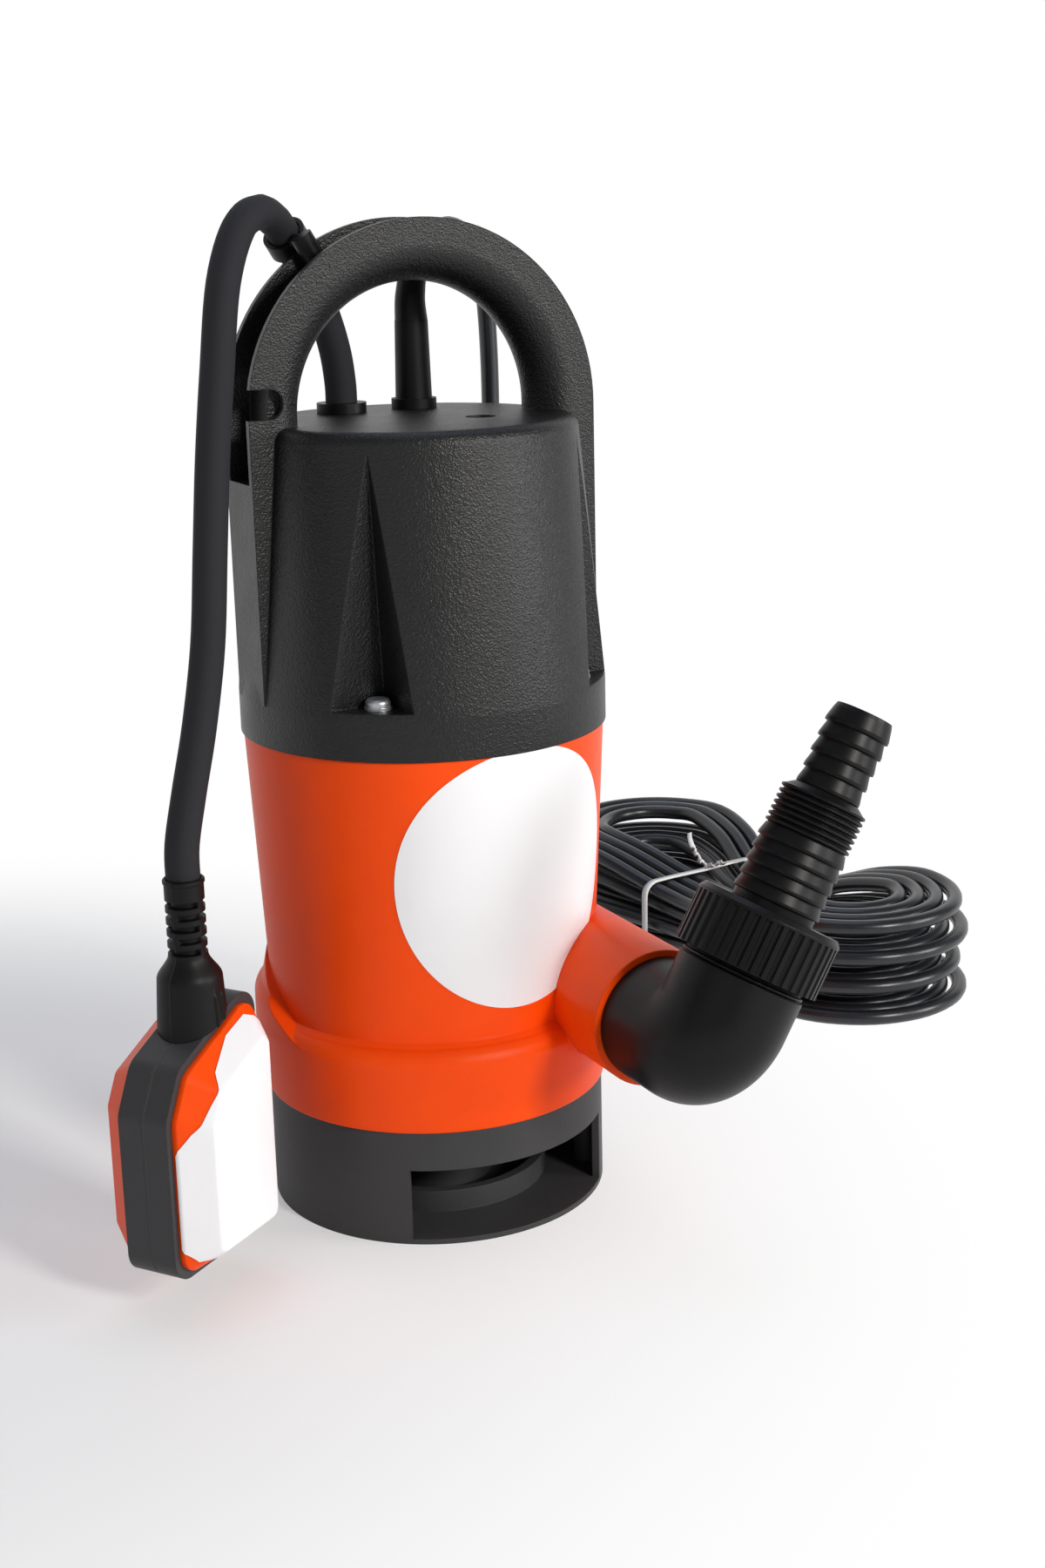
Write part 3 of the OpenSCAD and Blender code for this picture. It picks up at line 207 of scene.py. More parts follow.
# Slots of the neck: rows, the lowest, their pitch, height, depth, and levels of the mesh in one
SLOT_ROWS = 5
SLOT_FROM = 30.75
SLOT_STEP = 4.4
SLOT_H = 2.4
SLOT_DEEP = 2.3
SLOT_LEVELS = (0, 0.3, 1.2, 2.1, SLOT_H)
# Slots: half their reach round the neck and the slope at their ends, in degrees
SLOT_REACH = 78
SLOT_SLOPE = 4
# Ribs of the collar: lowest and highest level, angles off the face's middle, how far they stand out
RIB_LEVELS = (2.5, 16.5)
RIB_ANGLES = (7, 11)
RIB_OUT = 0.7
# Parting line at the boot's sides: half its width in degrees, and how far it stands out
PARTING_HALF = 1.5
PARTING_OUT = 0.25

# Sheet that the float's label is cut from: width, height and middle, and steps to a millimetre
SHEET_WIDE = 54
SHEET_TALL = 88
SHEET_MIDDLE = 7
SHEET_STEPS = 2
# Float label: where its search for the shell begins, and its film as a share of a label's
SEARCH_FROM = -60
FLOAT_FILM = 1.3
# Float label: the shell's left edge, which it goes over, and how far it stands off past it
FLOAT_EDGE = -25.5
EDGE_OFF = 0.5
# Outline of the float's label on the shell's own axes, across and up, clockwise from low left
FLOAT_LABEL = (
    (-22.5, -32.5), (-27.3, -27), (-27.3, 8.5), (-22.9, 17), (-16.4, 25.8), (-8.9, 35.4),
    (4.4, 44.1), (15.4, 48.4), (19.4, 46.8), (23.2, 42), (25.3, 34), (25.3, -27.5),
    (22.5, -32.5),
)


def linear(code):
    """Turns an sRGB hex colour into linear red, green, blue and alpha."""
    values = [int(code[i:i + 2], 16) / 255 for i in (1, 3, 5)]
    lit = [v / 12.92 if v <= 0.04045 else ((v + 0.055) / 1.055) ** 2.4 for v in values]
    return (*lit, 1.0)


class FinishSettings(bpy.types.PropertyGroup):
    """Colours of the finishes that show."""

    orange: FloatVectorProperty(
        name="Orange", description="Housing and float shells", subtype="COLOR",
        size=4, min=0, max=1, default=linear("#FF4C00"))
    cover_black: FloatVectorProperty(
        name="Cover black", description="Grained cover and handle", subtype="COLOR",
        size=4, min=0, max=1, default=linear("#0E0E0F"))
    plain_black: FloatVectorProperty(
        name="Plain black", description="Elbow, nut, hose adapter and cable clip", subtype="COLOR",
        size=4, min=0, max=1, default=linear("#0E0E0F"))
    # Greyer than the other blacks: partly the plastic's own colour, partly painted sheen of the key
    # lamp
    satin_black_with_painted_sheen: FloatVectorProperty(
        name="Satin black", description="Suction base and the float's band", subtype="COLOR",
        size=4, min=0, max=1, default=linear("#39393B"))
    rubber_black: FloatVectorProperty(
        name="Rubber black", description="Boot, bend relief, plug and seals", subtype="COLOR",
        size=4, min=0, max=1, default=linear("#0B0B0C"))
    # Lighter and bluer than the rubber: partly the vinyl's own colour, partly painted sheen of
    # light from above
    cord_black_with_painted_sheen: FloatVectorProperty(
        name="Cord black", description="Mains cord", subtype="COLOR",
        size=4, min=0, max=1, default=linear("#191B20"))
    label_white: FloatVectorProperty(
        name="Label white", description="Blank labels", subtype="COLOR",
        size=4, min=0, max=1, default=linear("#F0F0F3"))


class CordSettings(bpy.types.PropertyGroup):
    """Thickness and true length of the cords."""

    mains_diameter: FloatProperty(
        name="Mains diameter", description="Thickness of the mains cord", unit="LENGTH",
        default=7.5 * MM, min=6 * MM, max=9 * MM)
    mains_length: FloatProperty(
        name="Mains length", description="Length of the mains cord, hank and lead",
        unit="LENGTH", default=10.0, min=9, max=11)
    float_diameter: FloatProperty(
        name="Float cable diameter", description="Thickness of the float's cable",
        unit="LENGTH", default=12.5 * MM, min=10 * MM, max=14 * MM)
    float_length: FloatProperty(
        name="Float cable length", description="Gland to float boot", unit="LENGTH",
        default=0.34, min=0.3, max=0.4)


class LabelSettings(bpy.types.PropertyGroup):
    """Size and place of the body label, and the film of both labels."""

    body_radius: FloatProperty(
        name="Body label radius", description="Round label on the housing", unit="LENGTH",
        default=51.3 * MM, min=30 * MM, max=55 * MM)
    body_height: FloatProperty(
        name="Body label height", description="Height of the label's centre", unit="LENGTH",
        default=144.3 * MM, min=120 * MM, max=160 * MM)
    body_angle: FloatProperty(
        name="Body label angle", description="Turn of the label's centre from the front",
        unit="ROTATION", default=math.radians(7.7))
    film: FloatProperty(
        name="Film", description="Thickness of a label", unit="LENGTH",
        default=0.25 * MM, min=0.1 * MM, max=0.5 * MM)


class StageSettings(bpy.types.PropertyGroup):
    """Camera, floor and lamps."""

    camera_place: FloatVectorProperty(
        name="Camera place", description="Where the camera stands", subtype="XYZ",
        unit="LENGTH", default=(-0.3387, -0.7607, 0.3883))
    camera_aim: FloatVectorProperty(
        name="Camera aim", description="Point in the middle of the view", subtype="XYZ",
        unit="LENGTH", default=(0.05055, 0.01555, 0.15178))
    camera_roll: FloatProperty(
        name="Camera roll", description="Turn about the line of sight", unit="ROTATION",
        default=-0.0238)
    lens: FloatProperty(
        name="Lens", description="Focal length in millimetres", default=49.59, min=20, max=120)
    floor: FloatVectorProperty(
        name="Floor", description="Floor and backdrop", subtype="COLOR", size=4, min=0, max=1,
        default=linear("#F6F6F6"))
    key_power: FloatProperty(
        name="Key", description="Power of the main lamp in watts", default=26, min=0)
    fill_power: FloatProperty(
        name="Fill", description="Power of the wide lamp at the left in watts", default=3, min=0)
    side_power: FloatProperty(
        name="Side", description="Power of the low lamp at the right in watts", default=15, min=0)
    top_power: FloatProperty(
        name="Top", description="Power of the wide lamp overhead in watts", default=7, min=0)
    world_level: FloatProperty(
        name="World", description="Level of the even light all round", default=0.18, min=0)


class PumpSettings(bpy.types.PropertyGroup):
    """All that a user would change."""

    finish: PointerProperty(type=FinishSettings)
    cord: PointerProperty(type=CordSettings)
    label: PointerProperty(type=LabelSettings)
    stage: PointerProperty(type=StageSettings)


def settings():
    """The scene's own values of the property groups."""
    return bpy.context.scene.sump_pump


def per_mm(size):
    """Texture scale, per metre, of a pattern whose grain is size millimetres."""
    return 1 / (size * MM)


def add_node(tree, kind, inputs=None, **traits):
    """Adds a node: traits are its properties, inputs its sockets' values or links."""
    node = tree.nodes.new(kind)
    for name, value in traits.items():
        setattr(node, name, value)
    for name, value in (inputs or {}).items():
        if isinstance(value, bpy.types.NodeSocket):
            tree.links.new(value, node.inputs[name])
        else:
            node.inputs[name].default_value = value
    return node


def start_material(name, **sockets):
    """A material with its tree, shader and object coordinates, with the sockets set."""
    material = bpy.data.materials.new(name)
    material.use_nodes = True
    tree = material.node_tree
    shader = tree.nodes["Principled BSDF"]
    for socket, value in sockets.items():
        shader.inputs[socket.replace("_", " ")].default_value = value
    place = add_node(tree, "ShaderNodeTexCoord").outputs["Object"]
    return material, tree, shader, place


def vary(tree, shader, source, colour, spread, rough):
    """Lets a texture shift the colour by a share either way, and the roughness over a range."""
    dark = tuple(c * (1 - spread) for c in colour[:3]) + (1.0,)
    pale = tuple(min(1, c * (1 + spread)) for c in colour[:3]) + (1.0,)
    mix = add_node(tree, "ShaderNodeMix", {0: source, 6: dark, 7: pale}, data_type="RGBA")
    tree.links.new(mix.outputs[2], shader.inputs["Base Color"])
    span = add_node(tree, "ShaderNodeMapRange",
                    {"Value": source, "To Min": rough[0], "To Max": rough[1]})
    tree.links.new(span.outputs["Result"], shader.inputs["Roughness"])


def moulded_plastic(name, colour, rough, grain, depth, edge, gloss=0.2, seam=0):
    """Injection-moulded plastic: the tool's grain, slow sink marks and soft edges, in millimetres.

    On the float's band there is also a parting line, seam millimetres to either side.
    """
    material, tree, shader, place = start_material(name, IOR=1.49, Specular_IOR_Level=gloss)
    cells = add_node(tree, "ShaderNodeTexVoronoi", {"Vector": place, "Scale": per_mm(grain)},
                     feature="SMOOTH_F1")
    pits = add_node(tree, "ShaderNodeTexNoise",
                    {"Vector": place, "Scale": per_mm(grain * PIT_GRAINS), "Detail": 2.0})
    slow = add_node(tree, "ShaderNodeTexNoise",
                    {"Vector": place, "Scale": per_mm(SINK_MARKS), "Detail": 3.0})
    vary(tree, shader, slow.outputs["Fac"], colour, spread=0.08, rough=rough)
    height = add_node(tree, "ShaderNodeMath",
                      {0: cells.outputs["Distance"], 1: pits.outputs["Fac"]}, operation="ADD")
    soft = add_node(tree, "ShaderNodeBevel", {"Radius": edge * MM}, samples=EDGE_SAMPLES)
    bump = add_node(tree, "ShaderNodeBump", {
        "Strength": 1.0, "Distance": depth * MM, "Height": height.outputs[0],
        "Normal": soft.outputs["Normal"]})
    if seam:
        own = add_node(tree, "ShaderNodeMapping", {
            "Vector": place, "Location": Vector(FLOAT_AT) * MM, "Rotation": (0, 0, FLOAT_TURN)},
            vector_type="TEXTURE")
        across = add_node(tree, "ShaderNodeSeparateXYZ", {"Vector": own.outputs["Vector"]})
        off = add_node(tree, "ShaderNodeMath", {0: across.outputs["Y"]}, operation="ABSOLUTE")
        ridge = add_node(tree, "ShaderNodeMapRange", {
            "Value": off.outputs[0], "From Min": 0, "From Max": seam * MM, "To Min": 1,
            "To Max": 0}, interpolation_type="SMOOTHSTEP")
        bump = add_node(tree, "ShaderNodeBump", {
            "Strength": 1.0, "Distance": 0.5 * seam * MM, "Height": ridge.outputs["Result"],
            "Normal": bump.outputs["Normal"]})
    tree.links.new(bump.outputs["Normal"], shader.inputs["Normal"])
    return material


def moulded_rubber(name, colour, rough, gloss, scuff=2.5):
    """Extruded or moulded rubber: a dull sheen, faint scuffs and a bloom in patches."""
    material, tree, shader, place = start_material(name, IOR=1.52, Specular_IOR_Level=gloss)
    bloom = add_node(tree, "ShaderNodeTexNoise",
                     {"Vector": place, "Scale": per_mm(RUBBER_BLOOM), "Detail": 4.0})
    vary(tree, shader, bloom.outputs["Fac"], colour, spread=0.18, rough=rough)
    marks = add_node(tree, "ShaderNodeTexNoise",
                     {"Vector": place, "Scale": per_mm(scuff), "Detail": 3.0})
    soft = add_node(tree, "ShaderNodeBevel", {"Radius": 0.4 * MM}, samples=EDGE_SAMPLES)
    bump = add_node(tree, "ShaderNodeBump", {
        "Strength": 0.25, "Distance": 0.05 * MM, "Height": marks.outputs["Fac"],
        "Normal": soft.outputs["Normal"]})
    tree.links.new(bump.outputs["Normal"], shader.inputs["Normal"])
    return material


def worked_metal(name, colour, rough, line, along=(1, 1, 1)):
    """Bare metal: tool lines line millimetres apart, stretched along one axis by along."""
    material, tree, shader, place = start_material(name, Metallic=1.0)
    turned = add_node(tree, "ShaderNodeMapping", {"Vector": place, "Scale": along})
    lines = add_node(tree, "ShaderNodeTexNoise",
                     {"Vector": turned.outputs["Vector"], "Scale": per_mm(line), "Detail": 3.0})
    vary(tree, shader, lines.outputs["Fac"], colour, spread=0.12, rough=rough)
    soft = add_node(tree, "ShaderNodeBevel", {"Radius": 0.3 * MM}, samples=EDGE_SAMPLES)
    bump = add_node(tree, "ShaderNodeBump", {
        "Strength": 0.3, "Distance": 0.02 * MM, "Height": lines.outputs["Fac"],
        "Normal": soft.outputs["Normal"]})
    tree.links.new(bump.outputs["Normal"], shader.inputs["Normal"])
    return material


def label_vinyl():
    """Printable vinyl film: satin white, with a faint ripple from the hand that smoothed it."""
    material, tree, shader, place = start_material("satin_white_vinyl", IOR=1.5)
    ripple = add_node(tree, "ShaderNodeTexNoise",
                      {"Vector": place, "Scale": per_mm(FILM_RIPPLES), "Detail": 2.0})
    white = settings().finish.label_white
    vary(tree, shader, ripple.outputs["Fac"], white, spread=0.015, rough=(0.32, 0.42))
    bump = add_node(tree, "ShaderNodeBump", {
        "Strength": 0.25, "Distance": 0.2 * MM, "Height": ripple.outputs["Fac"]})
    tree.links.new(bump.outputs["Normal"], shader.inputs["Normal"])
    return material


def build_finishes():
    """Makes every finish once, from what the real material is and how it was made."""
    finish = settings().finish
    # black polypropylene from a spark-eroded tool: an even grain breaks up the sheen; the grain is
    # drawn at 0.6 mm, half as coarse again as it is, so that it shows
    moulded_plastic("grained_polypropylene", finish.cover_black, rough=(0.36, 0.46), grain=0.6,
                    depth=0.2, edge=0.8, gloss=0.42)
    # black polypropylene from a smooth tool: clear highlights along round forms and edges
    moulded_plastic("plain_polypropylene", finish.plain_black, rough=(0.34, 0.44), grain=1.6,
                    depth=0.012, edge=0.5)
    # black polypropylene from a stoned tool: an even satin; its greyer colour is partly the plastic
    # and partly painted sheen of the key lamp
    moulded_plastic("satin_polypropylene", finish.satin_black_with_painted_sheen, rough=(0.46, 0.56), grain=1.2,
                    depth=0.05, edge=0.6, gloss=0.3)
    # the same satin, with its partly painted sheen, and the line where the mould parts, which is
    # drawn wider than it is, 0.9 mm to either side, or it would not show
    moulded_plastic("seamed_polypropylene", finish.satin_black_with_painted_sheen, rough=(0.42, 0.54), grain=1.2,
                    depth=0.04, edge=0.8, gloss=0.3, seam=0.9)
    # orange polypropylene from a smooth tool: strong even colour under a soft sheen
    moulded_plastic("orange_polypropylene", finish.orange, rough=(0.38, 0.48), grain=1.4,
                    depth=0.012, edge=1.2)
    # extruded rubber sheath: dull black with one faint line of light along it
    moulded_rubber("cord_rubber", finish.rubber_black, rough=(0.30, 0.40), gloss=0.14)
    # extruded vinyl sheath: smoother than rubber, so every turn of the hank has a bright line; its
    # lighter, bluer colour is partly the vinyl and partly painted sheen of light from above
    moulded_rubber("cord_vinyl", finish.cord_black_with_painted_sheen, rough=(0.26, 0.38), gloss=0.5)
    # moulded rubber: matt black with fine scuffs
    moulded_rubber("moulded_rubber", finish.rubber_black, rough=(0.42, 0.56), gloss=0.2, scuff=1.4)
    # drawn stainless steel: bright, with fine lines
    worked_metal("stainless_steel", linear("#C9CBCC"), rough=(0.20, 0.34), line=0.6,
                 along=(1, 1, 4))
    # ground bearing steel: nearly a mirror
    worked_metal("bearing_steel", linear("#D6D8DB"), rough=(0.10, 0.18), line=0.8)
    # stacked steel sheets: dark grey, with a line for every sheet
    worked_metal("stacked_steel", linear("#8A8D92"), rough=(0.34, 0.5), line=0.5,
                 along=(0.1, 0.1, 1))
    # lacquered copper wire: warm brown, with the lie of the turns
    worked_metal("lacquered_copper", linear("#B4632A"), rough=(0.22, 0.36), line=1.0,
                 along=(0.3, 0.3, 1))
    # die-cast aluminium: pale, matt and slightly mottled
    worked_metal("cast_aluminium", linear("#B4B7BB"), rough=(0.38, 0.55), line=1.5)
    # fired and lapped ceramic: cream and smooth
    moulded_plastic("fired_ceramic", linear("#D9D4C8"), rough=(0.25, 0.4), grain=0.8, depth=0.01,
                    edge=0.3)
    # moulded nylon: milky, with a soft sheen
    moulded_plastic("pale_nylon", linear("#DCDAD2"), rough=(0.4, 0.5), grain=1.2, depth=0.01,
                    edge=0.4)
    # moulded acetal: even red, a little waxy
    moulded_plastic("red_acetal", linear("#C23B2A"), rough=(0.3, 0.4), grain=1.0, depth=0.01,
                    edge=0.2)
    # paper pressed over a wire: white and matt
    moulded_plastic("paper_tie", linear("#F0F0EE"), rough=(0.5, 0.65), grain=0.7, depth=0.03,
                    edge=0.2)
    label_vinyl()


# The CAD nodes that take each finish
NODE_FINISHES = {
    "grained_polypropylene": "top_cover",
    "plain_polypropylene": "suction_plate impeller float_gland cable_clip outlet_elbow"
                           " hose_adapter union_nut microswitch",
    "satin_polypropylene": "suction_base",
    "seamed_polypropylene": "float_band",
    "orange_polypropylene": "pump_housing float_shell_front float_shell_rear",
    "moulded_rubber": "cover_oring plate_gasket lip_seal elbow_gasket adapter_gasket mains_gland"
                      " plug_body",
    "stainless_steel": "cover_screws cover_washers base_screws plate_screws impeller_nut shaft"
                       " seal_spring capacitor_clip motor_can plug_pins",
    "bearing_steel": "lower_bearing_outer lower_bearing_inner lower_bearing_balls"
                     " upper_bearing_outer upper_bearing_inner upper_bearing_balls float_ball",
    "stacked_steel": "rotor_core stator_core",
    "lacquered_copper": "stator_windings",
    "cast_aluminium": "rotor_rings lower_end_shield upper_end_shield",
    "fired_ceramic": "seal_seat seal_ring",
    "pale_nylon": "capacitor terminal_block ball_guide",
    "red_acetal": "switch_plunger",
}


def finish_of(name):
    """A finish, made with all the others on first use.

    Where the frame brings a material of the same name, the frame's own is the one found: that is
    so for cord_rubber, stainless_steel, bearing_steel and cast_aluminium.
    """
    if name not in bpy.data.materials:
        build_finishes()
    return bpy.data.materials[name]


def put_object(name, data, finish, body):
    """Links a new piece, gives it its finish and lets it ride on a body, where one is given."""
    piece = bpy.data.objects.new(name, data)
    bpy.context.scene.collection.objects.link(piece)
    data.materials.append(finish)
    if body:
        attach(piece, body)
    return piece


def put_mesh(name, mesh, finish, body):
    """Turns a finished bmesh into a smooth-shaded piece."""
    for face in mesh.faces:
        face.smooth = True
    data = bpy.data.meshes.new(name)
    mesh.to_mesh(data)
    mesh.free()
    return put_object(name, data, finish, body)


def wall_radius(height):
    """Radius of the housing's tapered wall at a height, in millimetres."""
    return WALL_LEAST + WALL_SPREAD * (height - WALL_FROM) / WALL_H


def smooth_curve(points, steps):
    """Points on a smooth curve through the given ones, steps to each span."""
    ends = [points[0], *points, points[-1]]
    line = []
    for a, b, c, d in zip(ends, ends[1:], ends[2:], ends[3:]):
        for k in range(steps):
            t = k / steps
            line.append(0.5 * (2 * b + (c - a) * t + (2 * a - 5 * b + 4 * c - d) * t * t
                               + (3 * b - a - 3 * c + d) * t ** 3))
    return [*line, points[-1]]


def tube_curve(name, line, diameter):
    """Curve data for a round cord along a line of points."""
    data = bpy.data.curves.new(name, "CURVE")
    data.dimensions = "3D"
    data.bevel_depth = diameter / 2
    data.bevel_resolution = 4
    data.use_fill_caps = True
    spline = data.splines.new("POLY")
    spline.points.add(len(line) - 1)
    for point, place in zip(spline.points, line):
        point.co = (*place, 1)
    spline.use_smooth = True
    return data


def hank_waist(along):
    """How near a place along the hank is to its waist: 1 there, 0 from the folds on."""
    return math.cos(math.pi / 2 * along / HANK_RUN) ** 2 if abs(along) < HANK_RUN else 0


def hank_height(level, waist):
    """Height of the middle of the cord in a layer, which fans out away from the waist."""
    fan = 1 + HANK_FAN * (1 - waist)
    return HANK_FLOOR + HANK_LIFT * waist + HANK_LAYER * level * fan


def hank_place(along, across, height):
    """A place in millimetres from the hank's own axes: along its runs, across them, and up."""
    c, s = math.cos(HANK_TURN), math.sin(HANK_TURN)
    x = HANK_AT[0] + along * c + across * s
    y = HANK_AT[1] + along * s - across * c
    return Vector((x, y, height))


def hank_point(t):
    """Place in the hank after t loops, in millimetres: a run, a fold, a run back and a fold."""
    share = t - math.floor(t)
    layer, inside = divmod(t, HANK_LOOPS)
    inner = HANK_WIDE - HANK_STEP * HANK_LOOPS
    if t < 0:
        layer, inside = 0, t
    wide = HANK_WIDE - HANK_STEP * inside if layer % 2 == 0 else inner + HANK_STEP * inside
    climb = min(inside / HANK_CLIMB, 1)
    level = 0 if layer < 1 else layer - 1 + climb * climb * (3 - 2 * climb)
    if share < 0.25:
        u = HANK_RUN * (1 - 8 * share)
        v = wide - HANK_DRAW * hank_waist(u)
    elif share < 0.5:
        w = math.pi * (0.5 + (share - 0.25) / 0.25)
        u, v = -HANK_RUN + wide * math.cos(w), wide * math.sin(w)
    elif share < 0.75:
        u = HANK_RUN * (8 * (share - 0.5) - 1)
        v = HANK_DRAW * hank_waist(u) - wide
    else:
        w = math.pi * (-0.5 + (share - 0.75) / 0.25)
        u, v = HANK_RUN + wide * math.cos(w), wide * math.sin(w)
    return hank_place(u, v, hank_height(level, hank_waist(u)))


def mains_line():
    """The whole mains cord: down the back of the pump, round the hank and out to the plug."""
    end = HANK_LOOPS * HANK_LAYERS - HANK_SHORT
    last = round(end * HANK_RINGS)
    hank = [hank_point(min(i / HANK_RINGS, end - HANK_SLIVER)) for i in range(-HANK_LEAD, last + 1)]
    points = [Vector(p) for p in MAINS_ROUTE] + hank + [Vector(p) for p in PLUG_ROUTE]
    return [p * MM for p in smooth_curve(points, MAINS_STEPS)]


class SUMP_OT_stage(bpy.types.Operator):
    """Makes the pale floor with its backdrop, the lamps, the even light and the camera"""

    bl_idname = "sump.stage"
    bl_label = "Stage"

    def execute(self, context):
        stage = settings().stage
        scene = context.scene
        scene.view_settings.view_transform = "Standard"
        self.camera(scene, stage)
        self.floor(scene, stage)
        self.light(scene, stage)
        return {"FINISHED"}

    def camera(self, scene, stage):
        """Stands the camera where the photograph was taken from."""
        data = bpy.data.cameras.new("camera")
        data.lens = stage.lens
        data.sensor_width = SENSOR
        data.shift_y = FRAME_SHIFT
        data.clip_start = NEAREST
        camera = bpy.data.objects.new("camera", data)
        scene.collection.objects.link(camera)
        place = Vector(stage.camera_place)
        aim = (Vector(stage.camera_aim) - place).to_track_quat("-Z", "Y")
        camera.location = place
        camera.rotation_mode = "QUATERNION"
        camera.rotation_quaternion = aim @ Quaternion((0, 0, 1), stage.camera_roll)
        scene.camera = camera

    def floor(self, scene, stage):
        """One sheet: the floor, a wide bend and the wall behind."""
        mesh = bmesh.new()
        side = ((-FLOOR_HALF, 0), (BACKDROP_Y, 0), (BACKDROP_Y, BACKDROP_TOP))
        line = [mesh.verts.new((-FLOOR_HALF, y, z)) for y, z in side]
        for pair in zip(line, line[1:]):
            mesh.edges.new(pair)
        bmesh.ops.bevel(mesh, geom=[line[1]], offset=BACKDROP_BEND, offset_type="OFFSET",
                        segments=24, profile=0.5, affect="VERTICES", material=-1)
        swept = bmesh.ops.extrude_edge_only(mesh, edges=mesh.edges)
        bmesh.ops.translate(mesh, vec=(2 * FLOOR_HALF, 0, 0),
                            verts=[v for v in swept["geom"] if isinstance(v, bmesh.types.BMVert)])
        bmesh.ops.recalc_face_normals(mesh, faces=mesh.faces)
        for face in mesh.faces:
            face.smooth = True
        data = bpy.data.meshes.new("studio_floor")
        mesh.to_mesh(data)
        mesh.free()
        # studio paper: matt where the shadow falls, and plain white further off
        material, tree, shader, place = start_material("studio_paper", Roughness=0.9)
        shader.inputs["Base Color"].default_value = stage.floor
        shader.inputs["Specular IOR Level"].default_value = 0.1
        path = add_node(tree, "ShaderNodeLightPath")
        seen = path.outputs["Is Camera Ray"]
        for kind in ("Is Glossy Ray", "Is Transmission Ray"):
            seen = add_node(tree, "ShaderNodeMath", {0: seen, 1: path.outputs[kind]},
                            operation="MAXIMUM").outputs[0]
        away = add_node(tree, "ShaderNodeVectorMath", {0: place, 1: SHADOW_AT},
                        operation="DISTANCE")
        far = add_node(tree, "ShaderNodeMapRange", {
            "Value": away.outputs["Value"], "From Min": SHADOW_FROM, "From Max": SHADOW_TO,
            "To Min": SHADOW_LIFT}, interpolation_type="SMOOTHSTEP")
        share = add_node(tree, "ShaderNodeMath", {0: seen, 1: far.outputs["Result"]},
                         operation="MULTIPLY")
        white = add_node(tree, "ShaderNodeEmission", {"Color": linear("#FFFFFF"), "Strength": 1.0})
        mix = add_node(tree, "ShaderNodeMixShader", {
            0: share.outputs[0], 1: shader.outputs["BSDF"], 2: white.outputs["Emission"]})
        tree.links.new(mix.outputs["Shader"], tree.nodes["Material Output"].inputs["Surface"])
        data.materials.append(material)
        floor = bpy.data.objects.new("studio_floor", data)
        scene.collection.objects.link(floor)

    def light(self, scene, stage):
        """A key lamp in front, a low one at the right, a wide fill, one overhead, an even world."""
        for name, place, size, power, tint in (
                ("key_lamp", (0.52, -1.85, 1.05), 0.35, stage.key_power, "#FFFCF6"),
                ("side_lamp", (1.45, -1.15, 0.55), 0.6, stage.side_power, "#FFFFFF"),
                ("fill_lamp", (-1.6, -1.2, 1.1), 1.4, stage.fill_power, "#FFFFFF"),
                ("top_lamp", (0.1, 0.3, 1.9), 1.2, stage.top_power, "#D6E2FF")):
            data = bpy.data.lights.new(name, "AREA")
            data.size = size
            data.energy = power
            data.color = linear(tint)[:3]
            lamp = bpy.data.objects.new(name, data)
            scene.collection.objects.link(lamp)
            lamp.location = place
            aim = Vector(LAMP_AIM) - Vector(place)
            lamp.rotation_euler = aim.to_track_quat("-Z", "Y").to_euler()
        world = bpy.data.worlds.new("studio")
        scene.world = world
        world.use_nodes = True
        back = world.node_tree.nodes["Background"]
        back.inputs["Color"].default_value = linear("#FFFFFF")
        back.inputs["Strength"].default_value = stage.world_level


class SUMP_OT_mains_cord(bpy.types.Operator):
    """Lays the mains cord from its gland to the plug, with the spare length in a tied hank"""

    bl_idname = "sump.mains_cord"
    bl_label = "Mains cord"

    def execute(self, context):
        cord = settings().cord
        data = tube_curve("mains_cord_line", mains_line(), cord.mains_diameter)
        piece = put_object("mains_lead", data, finish_of("cord_vinyl"), "pump")
        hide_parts("mains_cord", "mains_hank", "plug_lead")
        return {"FINISHED"}


class SUMP_OT_float_cable(bpy.types.Operator):
    """Hangs the float's cable from its gland over the clip to the boot"""

    bl_idname = "sump.float_cable"
    bl_label = "Float cable"

    def execute(self, context):
        cord = settings().cord
        line = [p * MM for p in smooth_curve([Vector(p) for p in FLOAT_ROUTE], FLOAT_STEPS)]
        tube = tube_curve("guide", line, cord.float_diameter)
        guide = bpy.data.objects.new("float_cable_guide", tube)
        context.scene.collection.objects.link(guide)
        shaped = guide.evaluated_get(context.evaluated_depsgraph_get())
        data = bpy.data.meshes.new_from_object(shaped)
        bpy.data.objects.remove(guide)
        data.name = "float_cable_tube"
        finish = finish_of("cord_rubber")
        piece = put_object("float_cable_sheath", data, finish, None)
        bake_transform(piece)
        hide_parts("float_cable_fixed", "float_cable")
        return {"FINISHED"}


class SUMP_OT_bend_relief(bpy.types.Operator):
    """Slides the thick bend relief over the mains cord above its gland"""

    bl_idname = "sump.bend_relief"
    bl_label = "Bend relief"

    def execute(self, context):
        route = [Vector(p) for p in MAINS_ROUTE[:RELIEF_POINTS]]
        line = [p * MM for p in smooth_curve(route, RELIEF_STEPS)][:RELIEF_KEPT]
        data = tube_curve("bend_relief_line", line, RELIEF_THICK * MM)
        for i, point in enumerate(data.splines[0].points):
            point.radius = 1 - RELIEF_TAPER * i / len(line)
        put_object("mains_bend_relief", data, finish_of("moulded_rubber"), "pump")
        return {"FINISHED"}


